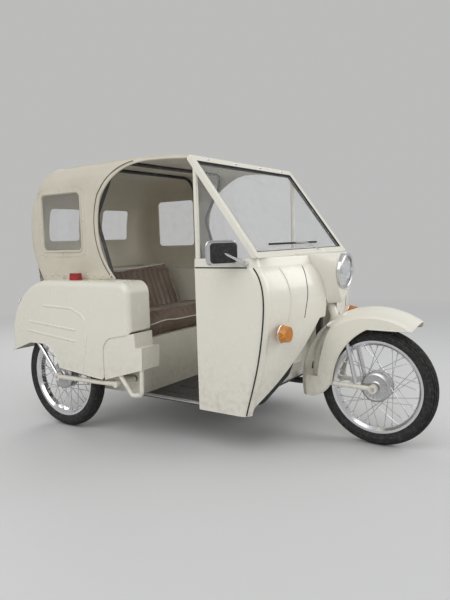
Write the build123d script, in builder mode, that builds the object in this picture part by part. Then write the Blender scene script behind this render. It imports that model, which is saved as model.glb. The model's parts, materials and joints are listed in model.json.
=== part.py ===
"""Three-wheeled moped with a hood, a steered front wheel and wire-spoked wheels.

Millimetres, +X forward, +Y to the vehicle's left, +Z up, origin on the ground under the middle of the box.
"""
import os
from math import asin, cos, hypot, radians, sin

from build123d import *

os.makedirs("parts", exist_ok=True)

# Wheels
WHEELBASE = 1505
TRACK = 1052
REAR_OVERHANG = 345
TYRE_R = 272
TYRE_W = 70
RIM_R = 214
RIM_W = 52
RIM_DEPTH = 22
FLANGE_W = 3
FLANGE_H = 9
HUB_R = 70
HUB_W = 74
HUB_CAP_R = 30
SPOKES = 36
SPOKE_R = 1.8
AXLE_R = 8
REAR_X = REAR_OVERHANG - (REAR_OVERHANG + WHEELBASE + TYRE_R) / 2
FRONT_X = REAR_X + WHEELBASE
AXLE_Z = TYRE_R
WHEEL_Y = TRACK / 2

# Sheet metal and fits
SHEET = 5
GAP = 0.3

# Rear suspension and the widths that follow from it
ARM_R = 12
ARM_CLEARANCE = 5
ARM_Y = HUB_W / 2 + ARM_R + ARM_CLEARANCE
DAMPER_R = 12
DAMPER_CLEARANCE = 3
FENDER_MARGIN = ARM_Y + DAMPER_R + DAMPER_CLEARANCE + SHEET
FENDER_OUTER = WHEEL_Y + FENDER_MARGIN
FENDER_INNER = WHEEL_Y - FENDER_MARGIN
BODY_LAP = 17
HOOD_LAP = 8
SEAT_CLEARANCE = 57
BODY_HALF = FENDER_INNER + BODY_LAP
HOOD_HALF = BODY_HALF + HOOD_LAP
SEAT_HALF = FENDER_INNER - SEAT_CLEARANCE

# Steering head
RAKE = 27
HEAD_SETBACK = 230
HEAD_Z = 640
STEM_R = 17
HEAD_WALL = 6
HEAD_LENGTH = 110
HEAD_RISE = 12
BAR_R = 11
BAR_SWEEP = 450
BAR_HALF = 205
BAR_Z = 790
BAR_BEND = 28
GRIP_LENGTH = 115
GRIP_RUN = 150
GRIP_R = 16
FORK_R = 20
LINK_PIVOT = 302
LINK_Y = 60
LINK_R = 11

# Front body
BODY_REAR_X = REAR_X + 836
BODY_BOTTOM = 190
BODY_TOP = 838
CORNER_R = 45
COWL_RISE = 40
COWL_INSET = 6
VEE_BOTTOM = BODY_HALF - 34
VEE_MIDDLE = BODY_HALF - 199
VEE_TOP = 112
VEE_APEX = 590
FLOOR_Z = 205

# Windscreen
SCREEN_HALF = BODY_HALF
SCREEN_TOP_X = REAR_X + 827
SCREEN_TOP_Z = 1315
SCREEN_FOOT_X = REAR_X + 1146
SCREEN_FOOT_Z = 884
SCREEN_BAR = 30
SCREEN_DEPTH = 22
GLASS = 5
POST_R = 11

# Headlamp nose
LAMP_X = REAR_X + 1350
LAMP_Z = 798
LAMP_R = 80
LAMP_TILT = 6
NOSE_BOTTOM = 652

# Front fender
FENDER_R = 368
FENDER_HALF = 82
FENDER_SHOULDER = 46
FENDER_SHEET = 4
FENDER_FRONT_DEG = 57
FENDER_BACK_DEG = 192

# Seat and hood
HOOD_SHEET = 6
HOOD_TOP = 1362
HOOD_EDGE_R = 85
SEAT_FRONT_X = REAR_X + 470
SEAT_BOX_TOP = 478
CUSHION_H = 110

# Rear fenders
FENDER_TOP = 776
FENDER_EDGE_R = 30
FENDER_NOSE_R = 60
FENDER_CREST = -30
BOX_REAR = 362
BOX_FRONT = 612
BOX_BOTTOM = 300
BOX_TOP = 540
ARM_PIVOT_X = REAR_X + 425
ARM_Z = 282
SIDES = (("right", -1), ("left", 1))


def rod(start, end, radius, mode=Mode.ADD):
    """A straight round bar between two points."""
    axis = Vector(*end) - Vector(*start)
    with BuildSketch(Plane(origin=start, z_dir=axis)) as section:
        Circle(radius)
    extrude(section.sketch, amount=axis.length, mode=mode)


def bent_tube(points, radius, bend, mode=Mode.ADD):
    """A round tube along straight runs joined by bends."""
    with BuildLine() as path:
        FilletPolyline(*points, radius=bend)
    wire = path.wires()[0]
    with BuildSketch(Plane(origin=wire @ 0, z_dir=wire % 0)) as section:
        Circle(radius)
    sweep(section.sketch, path=wire, mode=mode)


def block(low, high, mode=Mode.ADD):
    """A box between two opposite corners."""
    size = Vector(*high) - Vector(*low)
    middle = (Vector(*high) + Vector(*low)) * 0.5
    with Locations(middle):
        Box(size.X, size.Y, size.Z, mode=mode)


def bent_sheet(points, half, thickness):
    """A folded sheet across the vehicle: its right-hand face follows the points, given as x and z."""
    runs = [Vector(*b) - Vector(*a) for a, b in zip(points, points[1:])]
    normals = [Vector(-run.Y, run.X).normalized() for run in runs]
    folds = [normals[0]]
    for before, after in zip(normals, normals[1:]):
        middle = (before + after).normalized()
        folds.append(middle / middle.dot(before))
    folds.append(normals[-1])
    far_face = [Vector(*point) + fold * thickness for point, fold in zip(points, folds)]
    with BuildSketch(side_plane(half)) as section:
        with BuildLine():
            Polyline(*points, *[(point.X, point.Y) for point in reversed(far_face)], close=True)
        make_face()
    extrude(section.sketch, amount=2 * half)


def side_plane(y):
    """A plane that faces the vehicle's right, with the sketch's axes along X and Z."""
    return Plane(origin=(0, y, 0), x_dir=(1, 0, 0), z_dir=(0, -1, 0))


def keep(builder, name):
    """Label a finished piece and write its file."""
    builder.part.label = name
    export_step(builder.part, f"parts/{name}.step")


# Wheels: tyre, rim and laced hub, each turning about its own axle
WHEELS = (  # name, x, y
    ("front", FRONT_X, 0),
    ("rear_right", REAR_X, -WHEEL_Y),
    ("rear_left", REAR_X, WHEEL_Y),
)
BEAD_R = RIM_R - FLANGE_H
BEAD_HALF = RIM_W / 2 - FLANGE_W
WELL_R = RIM_R - RIM_DEPTH
SPOKE_FLANGE_R = HUB_R - 8
SPOKE_FLANGE_Y = HUB_W / 2 - 9
SPOKE_LEAD = 58
SPOKE_TIP_R = WELL_R - GAP - 0.7
for wheel, wheel_x, wheel_y in WHEELS:
    centre = (wheel_x, wheel_y, AXLE_Z)
    across = Plane(origin=centre, x_dir=(0, 0, 1), z_dir=(1, 0, 0))
    axle_line = Axis(centre, (0, 1, 0))
    with BuildPart() as tyre:
        with BuildSketch(across):
            with BuildLine():
                Polyline(
                    (TYRE_R - TYRE_W * 0.48, -TYRE_W / 2),
                    (BEAD_R + FLANGE_H + 4, -BEAD_HALF - 3),
                    (BEAD_R + FLANGE_H, -BEAD_HALF + GAP),
                    (BEAD_R + GAP, -BEAD_HALF + GAP),
                    (BEAD_R + GAP, BEAD_HALF - GAP),
                    (BEAD_R + FLANGE_H, BEAD_HALF - GAP),
                    (BEAD_R + FLANGE_H + 4, BEAD_HALF + 3),
                    (TYRE_R - TYRE_W * 0.48, TYRE_W / 2),
                )
                ThreePointArc(
                    (TYRE_R - TYRE_W * 0.48, TYRE_W / 2), (TYRE_R, 0), (TYRE_R - TYRE_W * 0.48, -TYRE_W / 2)
                )
            make_face()
        revolve(axis=axle_line)
    keep(tyre, f"{wheel}_tyre")

    with BuildPart() as rim:
        with BuildSketch(across):
            with BuildLine():
                Polyline(
                    (RIM_R, -RIM_W / 2),
                    (RIM_R, -BEAD_HALF),
                    (BEAD_R, -BEAD_HALF),
                    (BEAD_R, BEAD_HALF),
                    (RIM_R, BEAD_HALF),
                    (RIM_R, RIM_W / 2),
                    (BEAD_R - 2, RIM_W / 2 - 2),
                    (WELL_R, RIM_W / 4),
                    (WELL_R, -RIM_W / 4),
                    (BEAD_R - 2, -RIM_W / 2 + 2),
                    close=True,
                )
            make_face()
        revolve(axis=axle_line)
    keep(rim, f"{wheel}_rim")

    with BuildPart() as hub:
        with BuildSketch(across):
            with BuildLine():
                Polyline(
                    (AXLE_R + GAP, -HUB_W / 2),
                    (HUB_CAP_R, -HUB_W / 2),
                    (HUB_R - 6, -HUB_W / 2 + 6),
                    (HUB_R, -HUB_W / 2 + 10),
                    (HUB_R, HUB_W / 2 - 10),
                    (HUB_R - 6, HUB_W / 2 - 6),
                    (HUB_CAP_R, HUB_W / 2),
                    (AXLE_R + GAP, HUB_W / 2),
                    close=True,
                )
            make_face()
        revolve(axis=axle_line)
        for index in range(SPOKES):
            flank = 1 if index % 2 else -1
            lead = SPOKE_LEAD if index % 4 < 2 else -SPOKE_LEAD
            rim_angle = radians(360 * index / SPOKES)
            hub_angle = rim_angle + radians(lead)
            rod(
                (
                    wheel_x + SPOKE_FLANGE_R * cos(hub_angle),
                    wheel_y + flank * SPOKE_FLANGE_Y,
                    AXLE_Z + SPOKE_FLANGE_R * sin(hub_angle),
                ),
                (
                    wheel_x + SPOKE_TIP_R * cos(rim_angle),
                    wheel_y + flank * RIM_W / 8,
                    AXLE_Z + SPOKE_TIP_R * sin(rim_angle),
                ),
                SPOKE_R,
            )
    keep(hub, f"{wheel}_hub")

# Front body: one hollow form, parted into the apron and the two side panels
FRONT_SECTIONS = (  # height, x of the corners, x of the middle
    (BODY_BOTTOM, REAR_X + 1100, REAR_X + 1185),
    (350, REAR_X + 1146, REAR_X + 1230),
    (519, REAR_X + 1182, REAR_X + 1268),
    (686, REAR_X + 1198, REAR_X + 1288),
    (770, REAR_X + 1188, REAR_X + 1280),
    (BODY_TOP, REAR_X + 1152, REAR_X + 1250),
)
SEAM = 9
SLOT_HALF = 62
SLOT_TOP = 800


def front_outline(height, corner_x, middle_x, grow):
    """One level of the front body: square at the back, round corners, bowed front."""
    half = BODY_HALF + grow
    radius = CORNER_R + grow
    corner = corner_x + grow
    flank = half - radius
    bend = radius * cos(radians(45))
    with BuildSketch(Plane.XY.offset(height)) as outline:
        with BuildLine():
            Polyline(
                (corner - radius, half), (BODY_REAR_X, half), (BODY_REAR_X, -half), (corner - radius, -half)
            )
            ThreePointArc(
                (corner - radius, -half), (corner - radius + bend, -flank - bend), (corner, -flank)
            )
            ThreePointArc((corner, -flank), (middle_x + grow, 0), (corner, flank))
            ThreePointArc((corner, flank), (corner - radius + bend, flank + bend), (corner - radius, half))
        make_face()
    return outline.sketch


def front_form(grow, mode):
    """The front body's outer form, or with a negative growth the hollow inside it."""
    reach = -grow if grow < 0 else 0
    levels = [list(section) for section in FRONT_SECTIONS]
    levels[0][0] -= reach
    levels[-1][0] += reach
    loft([front_outline(*level, grow) for level in levels], mode=mode)


def front_shell():
    """The walls of the front body, open at the back, below and above."""
    front_form(0, Mode.ADD)
    front_form(-SHEET, Mode.SUBTRACT)
    block(
        (BODY_REAR_X - 1, -BODY_HALF + SHEET, BODY_BOTTOM - 1),
        (BODY_REAR_X + SHEET, BODY_HALF - SHEET, BODY_TOP + 1),
        Mode.SUBTRACT,
    )


with BuildPart() as front_apron:
    front_shell()
    inside = BODY_HALF - SEAM - GAP
    split(bisect_by=Plane.XZ.offset(-inside), keep=Keep.TOP)
    split(bisect_by=Plane.XZ.offset(inside), keep=Keep.BOTTOM)
    with BuildSketch(Plane.YZ.offset(BODY_REAR_X)) as vee:
        with BuildLine():
            Line((-VEE_BOTTOM, BODY_BOTTOM - 20), (VEE_BOTTOM, BODY_BOTTOM - 20))
            Line((VEE_BOTTOM, BODY_BOTTOM - 20), (VEE_BOTTOM, BODY_BOTTOM + 30))
            ThreePointArc(
                (VEE_BOTTOM, BODY_BOTTOM + 30), (VEE_MIDDLE, 395), (VEE_TOP, VEE_APEX)
            )
            Line((VEE_TOP, VEE_APEX), (-VEE_TOP, VEE_APEX))
            ThreePointArc(
                (-VEE_TOP, VEE_APEX), (-VEE_MIDDLE, 395), (-VEE_BOTTOM, BODY_BOTTOM + 30)
            )
            Line((-VEE_BOTTOM, BODY_BOTTOM + 30), (-VEE_BOTTOM, BODY_BOTTOM - 20))
        make_face()
        with BuildLine():
            Polyline(
                (-SLOT_HALF, VEE_APEX - 1),
                (SLOT_HALF, VEE_APEX - 1),
                (SLOT_HALF, SLOT_TOP),
                (-SLOT_HALF, SLOT_TOP),
                close=True,
            )
        make_face()
    extrude(vee.sketch, amount=FRONT_X - BODY_REAR_X, mode=Mode.SUBTRACT)
keep(front_apron, "front_apron")

for name, side in SIDES:
    with BuildPart() as side_panel:
        front_shell()
        split(
            bisect_by=Plane.XZ.offset(-side * (BODY_HALF - SEAM)), keep=Keep.BOTTOM if side > 0 else Keep.TOP
        )
    keep(side_panel, f"side_panel_{name}")

# Cowl top: a crowned lid between the front body and the foot of the windscreen
COWL_REAR_X = REAR_X + 1060
COWL_TOP = BODY_TOP + COWL_RISE


def cowl_form(grow, mode, bottom):
    """The cowl's outer form from the given level up."""
    lowest = front_outline(bottom, *FRONT_SECTIONS[-1][1:], grow)
    top_corner = FRONT_SECTIONS[-1][1] - COWL_INSET
    top_middle = FRONT_SECTIONS[-1][2] - COWL_INSET / 2
    highest = front_outline(BODY_TOP + COWL_RISE + grow, top_corner, top_middle, grow - COWL_INSET / 3)
    loft([lowest, highest], mode=mode)


with BuildPart() as cowl_top:
    cowl_form(0, Mode.ADD, BODY_TOP + GAP)
    cowl_form(-SHEET, Mode.SUBTRACT, BODY_TOP + GAP - 1)
    block(
        (BODY_REAR_X - 1, -BODY_HALF + 2 * SHEET, BODY_TOP - 1),
        (COWL_REAR_X, BODY_HALF - 2 * SHEET, BODY_TOP + COWL_RISE + 1),
        Mode.SUBTRACT,
    )
keep(cowl_top, "cowl_top")

# Nose cowl: a waisted hollow form that carries the headlamp
NOSE_SECTIONS = (  # height, half width at the body, half width at the front, x of the front
    (NOSE_BOTTOM, 128, 16, LAMP_X - 18),
    (LAMP_Z - 66, 108, 62, LAMP_X - 8),
    (LAMP_Z, 122, 88, LAMP_X - 8),
    (LAMP_Z + 66, 165, 86, LAMP_X - 10),
    (LAMP_Z + LAMP_R + 6, 178, 72, LAMP_X - 22),
)
NOSE_BACK_X = SCREEN_FOOT_X + 40
LAMP_DEPTH = 70
lamp_plane = Plane(
    origin=(LAMP_X, 0, LAMP_Z), x_dir=(0, 1, 0), z_dir=(cos(radians(LAMP_TILT)), 0, -sin(radians(LAMP_TILT)))
)


def nose_form(wall, mode):
    """The nose's outer form, or with a wall the hollow inside it."""
    levels = []
    for height, back, front, front_x in NOSE_SECTIONS:
        level = min(height, NOSE_SECTIONS[-1][0] - wall)
        level = level - wall if height == NOSE_BOTTOM else level
        with BuildSketch(Plane.XY.offset(level)) as outline:
            with BuildLine():
                Polyline(
                    (NOSE_BACK_X - wall, back - wall),
                    (NOSE_BACK_X - wall, wall - back),
                    (front_x - wall, wall - front),
                )
                ThreePointArc(
                    (front_x - wall, wall - front), (front_x + 6 - wall, 0), (front_x - wall, front - wall)
                )
                Line((front_x - wall, front - wall), (NOSE_BACK_X - wall, back - wall))
            make_face()
        levels.append(outline.sketch)
    loft(levels, mode=mode)


with BuildPart() as nose_cowl:
    nose_form(0, Mode.ADD)
    nose_form(SHEET, Mode.SUBTRACT)
    front_form(GAP, Mode.SUBTRACT)
    cowl_form(2 * GAP, Mode.SUBTRACT, BODY_TOP)
    with BuildSketch(lamp_plane.offset(-LAMP_DEPTH)) as lamp_hole:
        Circle(LAMP_R + GAP)
    extrude(lamp_hole.sketch, amount=2 * LAMP_DEPTH, mode=Mode.SUBTRACT)
keep(nose_cowl, "nose_cowl")

# Headlamp: a cup with a rolled rim, and its lens
LENS_R = LAMP_R - 8
with BuildPart() as headlamp_rim:
    with BuildSketch(Plane(origin=lamp_plane.origin, x_dir=lamp_plane.z_dir, z_dir=(0, -1, 0))) as cup:
        with BuildLine():
            Polyline((-LAMP_DEPTH, 0), (-LAMP_DEPTH, 30), (-20, LAMP_R), (8, LAMP_R))
            Line((8, LAMP_R), (8, LENS_R))
            Polyline((8, LENS_R), (-4, LENS_R), (-4, LENS_R - 4), (-LAMP_DEPTH + 5, 24), (-LAMP_DEPTH + 5, 0))
            Line((-LAMP_DEPTH + 5, 0), (-LAMP_DEPTH, 0))
        make_face()
    revolve(cup.sketch, axis=Axis(lamp_plane.origin, lamp_plane.z_dir))
keep(headlamp_rim, "headlamp_rim")

LENS_CROWN = 14
lens_rim = LENS_R - GAP
dome_r = (lens_rim**2 + LENS_CROWN**2) / (2 * LENS_CROWN)
half_turn = asin(lens_rim / dome_r) / 2
dome_middle = (LENS_CROWN - dome_r * (1 - cos(half_turn)), dome_r * sin(half_turn))
with BuildPart() as headlamp_lens:
    with BuildSketch(Plane(origin=lamp_plane.origin, x_dir=lamp_plane.z_dir, z_dir=(0, -1, 0))) as dome:
        with BuildLine():
            Polyline((LENS_CROWN, 0), (-4 + GAP, 0), (-4 + GAP, lens_rim), (0, lens_rim))
            ThreePointArc((0, lens_rim), dome_middle, (LENS_CROWN, 0))
        make_face()
    revolve(dome.sketch, axis=Axis(lamp_plane.origin, lamp_plane.z_dir))
keep(headlamp_lens, "headlamp_lens")

# Windscreen: a leaning frame whose foot is cut flat on the cowl, with its pane
screen_run = SCREEN_FOOT_X - SCREEN_TOP_X
screen_drop = SCREEN_TOP_Z - SCREEN_FOOT_Z
screen_length = hypot(screen_run, screen_drop)
screen_plane = Plane(
    origin=((SCREEN_TOP_X + SCREEN_FOOT_X) / 2, 0, (SCREEN_TOP_Z + SCREEN_FOOT_Z) / 2),
    x_dir=(0, 1, 0),
    z_dir=(screen_drop / screen_length, 0, screen_run / screen_length),
)
SCREEN_CORNER = 14
PANE_LAP = 8
with BuildPart() as windscreen_frame:
    with BuildSketch(screen_plane) as bars:
        RectangleRounded(2 * SCREEN_HALF, screen_length + SCREEN_BAR, SCREEN_CORNER)
        Rectangle(2 * (SCREEN_HALF - SCREEN_BAR), screen_length - SCREEN_BAR, mode=Mode.SUBTRACT)
    extrude(bars.sketch, amount=SCREEN_DEPTH / 2, both=True)
    with BuildSketch(screen_plane) as rebate:
        Rectangle(2 * (SCREEN_HALF - SCREEN_BAR + PANE_LAP), screen_length - SCREEN_BAR + 2 * PANE_LAP)
    extrude(rebate.sketch, amount=GLASS / 2 + GAP, both=True, mode=Mode.SUBTRACT)
    split(bisect_by=Plane.XY.offset(COWL_TOP + GAP), keep=Keep.TOP)
keep(windscreen_frame, "windscreen_frame")

with BuildPart() as windscreen_glass:
    with BuildSketch(screen_plane) as pane:
        Rectangle(
            2 * (SCREEN_HALF - SCREEN_BAR + PANE_LAP - GAP), screen_length - SCREEN_BAR + 2 * (PANE_LAP - GAP)
        )
    extrude(pane.sketch, amount=GLASS / 2, both=True)
    split(bisect_by=Plane.XY.offset(COWL_TOP + 2 * GAP), keep=Keep.TOP)
keep(windscreen_glass, "windscreen_glass")

# Side posts and quarter panes below the windscreen's side bars
POST_X = BODY_REAR_X + POST_R
POST_Y = SCREEN_HALF - POST_R - 2
under_screen = screen_plane.offset(-SCREEN_DEPTH / 2 - GAP)
with BuildPart() as side_posts:
    for name, side in SIDES:
        rod((POST_X, side * POST_Y, COWL_TOP + GAP), (POST_X, side * POST_Y, SCREEN_TOP_Z), POST_R)
    split(bisect_by=under_screen, keep=Keep.BOTTOM)
keep(side_posts, "side_posts")

with BuildPart() as quarter_panes:
    for name, side in SIDES:
        block(
            (POST_X + POST_R + GAP, side * POST_Y - GLASS / 2, COWL_TOP + GAP),
            (SCREEN_FOOT_X, side * POST_Y + GLASS / 2, SCREEN_TOP_Z),
        )
    split(bisect_by=under_screen, keep=Keep.BOTTOM)
keep(quarter_panes, "quarter_panes")

# Front flashers on short stalks, on the apron's front
FLASHER_Y = BODY_HALF - 92
FLASHER_Z = 552
FLASHER_R = 38
FLASHER_DEPTH = 34
STALK_R = 13
flasher_x = REAR_X + 1222
with BuildPart() as front_flashers:
    for name, side in SIDES:
        stalk_y = side * FLASHER_Y
        rod((flasher_x - 50, stalk_y, FLASHER_Z), (flasher_x + 10, stalk_y, FLASHER_Z), STALK_R)
        with BuildSketch(Plane.YZ.offset(flasher_x)) as dish:
            with Locations((side * FLASHER_Y, FLASHER_Z)):
                Circle(FLASHER_R)
        extrude(dish.sketch, amount=FLASHER_DEPTH, taper=8)
    front_form(GAP, Mode.SUBTRACT)
keep(front_flashers, "front_flashers")

# Mirror on the right post: bent arm with a shallow housing, and its glass facing back
MIRROR_X = REAR_X + 1032
MIRROR_Y = -BODY_HALF - 70
MIRROR_Z = 904
MIRROR_TURN = 32
MIRROR_W = 140
MIRROR_H = 102
MIRROR_DEPTH = 24
MIRROR_RIM = 7
mirror_plane = Plane(
    origin=(MIRROR_X, MIRROR_Y, MIRROR_Z),
    x_dir=(sin(radians(MIRROR_TURN)), cos(radians(MIRROR_TURN)), 0),
    z_dir=(-cos(radians(MIRROR_TURN)), sin(radians(MIRROR_TURN)), 0),
)
MIRROR_ARM_R = 6
MIRROR_REACH = 76
with BuildPart() as mirror:
    with BuildSketch(mirror_plane) as case:
        RectangleRounded(MIRROR_W, MIRROR_H, 22)
    extrude(case.sketch, amount=-MIRROR_DEPTH, taper=14)
    with BuildSketch(mirror_plane) as face:
        RectangleRounded(MIRROR_W - 2 * MIRROR_RIM, MIRROR_H - 2 * MIRROR_RIM, 16)
    extrude(face.sketch, amount=-GLASS, mode=Mode.SUBTRACT)
    arm_tip = mirror_plane.from_local_coords((0, 0, -MIRROR_DEPTH + 3))
    arm_foot = (MIRROR_X + MIRROR_REACH, -BODY_HALF - 24, COWL_TOP - COWL_RISE / 2)
    rod((arm_foot[0], -BODY_HALF - GAP, arm_foot[2]), arm_foot, MIRROR_ARM_R + 4)
    rod((arm_foot[0], arm_foot[1] + 8, arm_foot[2]), tuple(arm_tip), MIRROR_ARM_R)
keep(mirror, "mirror")

with BuildPart() as mirror_glass:
    with BuildSketch(mirror_plane.offset(-GLASS + GAP)) as face:
        RectangleRounded(MIRROR_W - 2 * MIRROR_RIM - 2 * GAP, MIRROR_H - 2 * MIRROR_RIM - 2 * GAP, 16)
    extrude(face.sketch, amount=GLASS - 2 * GAP)
keep(mirror_glass, "mirror_glass")

# Floor pan and toe board
FLOOR_HALF = BODY_HALF - SHEET - GAP
FLOOR_REAR_X = SEAT_FRONT_X + SHEET + GAP
TOE_X = REAR_X + 990
with BuildPart() as floor_pan:
    block((FLOOR_REAR_X, -FLOOR_HALF, FLOOR_Z), (TOE_X, FLOOR_HALF, FLOOR_Z + SHEET))
    for index in range(7):
        rib_y = (index - 3) * FLOOR_HALF / 4
        block((FLOOR_REAR_X + 60, rib_y - 12, FLOOR_Z + SHEET), (TOE_X - 50, rib_y + 12, FLOOR_Z + SHEET + 4))
keep(floor_pan, "floor_pan")

TOE_HALF = FLOOR_HALF - 60
with BuildPart() as toe_board:
    bent_sheet(
        (
            (TOE_X - SHEET - GAP, FLOOR_Z + SHEET + GAP),
            (REAR_X + 1075, 330),
            (REAR_X + 1150, 600),
        ),
        TOE_HALF,
        SHEET,
    )
keep(toe_board, "toe_board")

# Rear fenders: open-bottomed housings over the rear wheels, with raised strakes, and the boxes before them
RIB = 4
BOX_OUTLINE = (  # x from the rear axle, height
    (BOX_REAR, BOX_BOTTOM),
    (BOX_REAR, 440),
    (430, 512),
    (568, BOX_TOP),
    (572, 473),
    (BOX_FRONT, 475),
    (608, 372),
)
STRAKES = (  # rear x from the rear axle, front x, height at the rear, height at the front
    (-185, 170, 558, 532),
    (-205, 165, 508, 475),
)
SWAGE = (  # x from the rear axle, height, along the raised bead from the tail down to the lower edge
    (-56, 646),
    (150, 640),
    (250, 600),
    (252, 500),
    (214, 322),
)
SWAGE_BEND = 60
STRAKE_R = 7
FENDER_FRONT = 541
ARCH_Z = 444
FENDER_TAIL = 385


def box_profile(y, grow):
    """The side box's outline: rounded at its upper rear corner, stepped at the front."""
    places = [(REAR_X + x, z) for x, z in BOX_OUTLINE]
    bulge = (REAR_X + BOX_REAR + 20, 488)
    with BuildSketch(side_plane(y)) as outline:
        with BuildLine():
            Line(places[0], places[1])
            ThreePointArc(places[1], bulge, places[2])
            Polyline(*places[2:], places[0])
        make_face()
        if grow:
            offset(amount=grow, kind=Kind.INTERSECTION)
    return outline.sketch


def fender_profile(y, wall):
    """The rear fender's outline, or with a wall the hollow under it."""
    top = FENDER_TOP - wall
    front = REAR_X + FENDER_FRONT - wall
    tail_x = REAR_X - REAR_OVERHANG + wall
    tail_z = FENDER_TOP - (REAR_OVERHANG + FENDER_CREST)
    round_r = FENDER_NOSE_R - wall
    bend = round_r * (1 - cos(radians(45)))
    crest = (REAR_X + FENDER_CREST, top)
    with BuildSketch(side_plane(y)) as outline:
        with BuildLine():
            TangentArc(crest, (tail_x, tail_z), tangent=(-1, 0))
            Line(crest, (front - round_r, top))
            ThreePointArc((front - round_r, top), (front - bend, top - bend), (front, top - round_r))
            if wall:
                Polyline((front, top - round_r), (front, 0), (tail_x, 0), (tail_x, tail_z))
            else:
                Polyline((front, top - round_r), (front, 548), (REAR_X + 350, 300), (REAR_X + 41, 327))
                ThreePointArc((REAR_X + 41, 327), (REAR_X + 4, 396), (REAR_X - 70, ARCH_Z))
                Polyline(
                    (REAR_X - 70, ARCH_Z), (REAR_X - 185, ARCH_Z - 2), (tail_x, FENDER_TAIL), (tail_x, tail_z)
                )
        make_face()
    return outline.sketch


def fender_form(side, wall, mode):
    """One rear fender's block with its outer edge rounded, or with a wall the hollow inside it."""
    outer = FENDER_OUTER - wall
    inner = FENDER_INNER + wall
    with BuildPart(mode=Mode.PRIVATE) as form:
        extrude(fender_profile(outer if side > 0 else -inner, wall), amount=outer - inner)
        rim_edges = [
            edge
            for edge in form.edges()
            if abs(abs(edge.center().Y) - outer) < 1
            and edge.center().Z > FENDER_TOP - FENDER_NOSE_R * 3
            and edge.center().X < REAR_X + FENDER_FRONT - wall - 3
        ]
        fillet(rim_edges, FENDER_EDGE_R - wall)
    add(form.part, mode=mode)


for name, side in SIDES:
    with BuildPart() as rear_fender:
        fender_form(side, 0, Mode.ADD)
        fender_form(side, SHEET, Mode.SUBTRACT)
        extrude(box_profile(FENDER_OUTER + 1, GAP), amount=2 * FENDER_OUTER + 2, mode=Mode.SUBTRACT)
        rib_y = side * (FENDER_OUTER - RIB + 1)
        bent_tube([(REAR_X + x, rib_y, z) for x, z in SWAGE], STRAKE_R, SWAGE_BEND)
        ends = [SWAGE[0]]
        for rear, front, rear_z, front_z in STRAKES:
            rod((REAR_X + rear, rib_y, rear_z), (REAR_X + front, rib_y, front_z), STRAKE_R)
            ends += [(rear, rear_z), (front, front_z)]
        with Locations([(REAR_X + x, rib_y, z) for x, z in ends]):
            Sphere(STRAKE_R)
    keep(rear_fender, f"rear_fender_{name}")

    outer = side * (FENDER_OUTER - SHEET) if side > 0 else -FENDER_INNER - 20
    with BuildPart() as side_box:
        extrude(box_profile(outer, 0), amount=FENDER_OUTER - FENDER_INNER - SHEET - 20)
    keep(side_box, f"side_box_{name}")

# Rear tub between the fenders
TUB_HALF = FENDER_INNER - GAP
TUB_FLOOR = 400
TUB_TOP = 700
with BuildPart() as rear_tub:
    bent_sheet(
        (
            (REAR_X - 20, 470),
            (REAR_X - 60, TUB_FLOOR),
            (REAR_X - 262, TUB_FLOOR + 30),
            (REAR_X - 222, TUB_TOP - GAP),
        ),
        TUB_HALF,
        -SHEET,
    )
keep(rear_tub, "rear_tub")

# Hood: fabric skin over bows, open at the entries, with cut windows
HOOD_FRONT_X = REAR_X + 803
HOOD_FRONT_Z = 1334
HOOD_TAIL_X = REAR_X - 212
HOOD_SHOULDER_X = REAR_X - 275
HOOD_SHOULDER_DROP = 122
HOOD_CREST_X = REAR_X - 70
HOOD_BROW_X = REAR_X + 560
ENTRY = (  # x from the rear axle, height, along the entry's edge from the seat to the brow
    (345, FENDER_TOP - 10),
    (240, 1010),
    (270, 1190),
    (400, 1300),
    (600, 1338),
)
SIDE_WINDOW = (-28, 1072, 292, 290)
REAR_WINDOW = (205, 1070, 225, 186)


def hood_profile(y, wall):
    """The hood seen from the side, or with a wall the room inside it."""
    reach = HOOD_CREST_X - HOOD_SHOULDER_X
    crown_r = (reach**2 + HOOD_SHOULDER_DROP**2) / (2 * HOOD_SHOULDER_DROP)
    shrink = wall / crown_r
    shoulder_z = HOOD_TOP - HOOD_SHOULDER_DROP - (crown_r - HOOD_SHOULDER_DROP) * shrink
    shoulder = (HOOD_SHOULDER_X + reach * shrink, shoulder_z)
    tail = (HOOD_TAIL_X + wall, TUB_TOP - 2 * wall)
    crest = (HOOD_CREST_X, HOOD_TOP - wall)
    brow = (HOOD_BROW_X, HOOD_TOP - wall)
    front = (HOOD_FRONT_X + wall, HOOD_FRONT_Z - wall)
    with BuildSketch(side_plane(y)) as outline:
        with BuildLine():
            crown = TangentArc(crest, shoulder, tangent=(-1, 0))
            TangentArc(shoulder, tail, tangent=crown % 1)
            Line(crest, brow)
            TangentArc(brow, front, tangent=(1, 0))
            Polyline(front, (front[0], tail[1]), tail)
        make_face()
    return outline.sketch


def hood_form(half, wall, radius, mode):
    """The hood's rounded block, from side to side."""
    with BuildPart(mode=Mode.PRIVATE) as form:
        extrude(hood_profile(half, wall), amount=2 * half)
        roof = [
            edge
            for edge in form.edges()
            if abs(abs(edge.center().Y) - half) < 1
            and (edge.center().Z > HOOD_FRONT_Z or edge.center().X < HOOD_TAIL_X)
        ]
        fillet(roof, radius)
    add(form.part, mode=mode)


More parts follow.
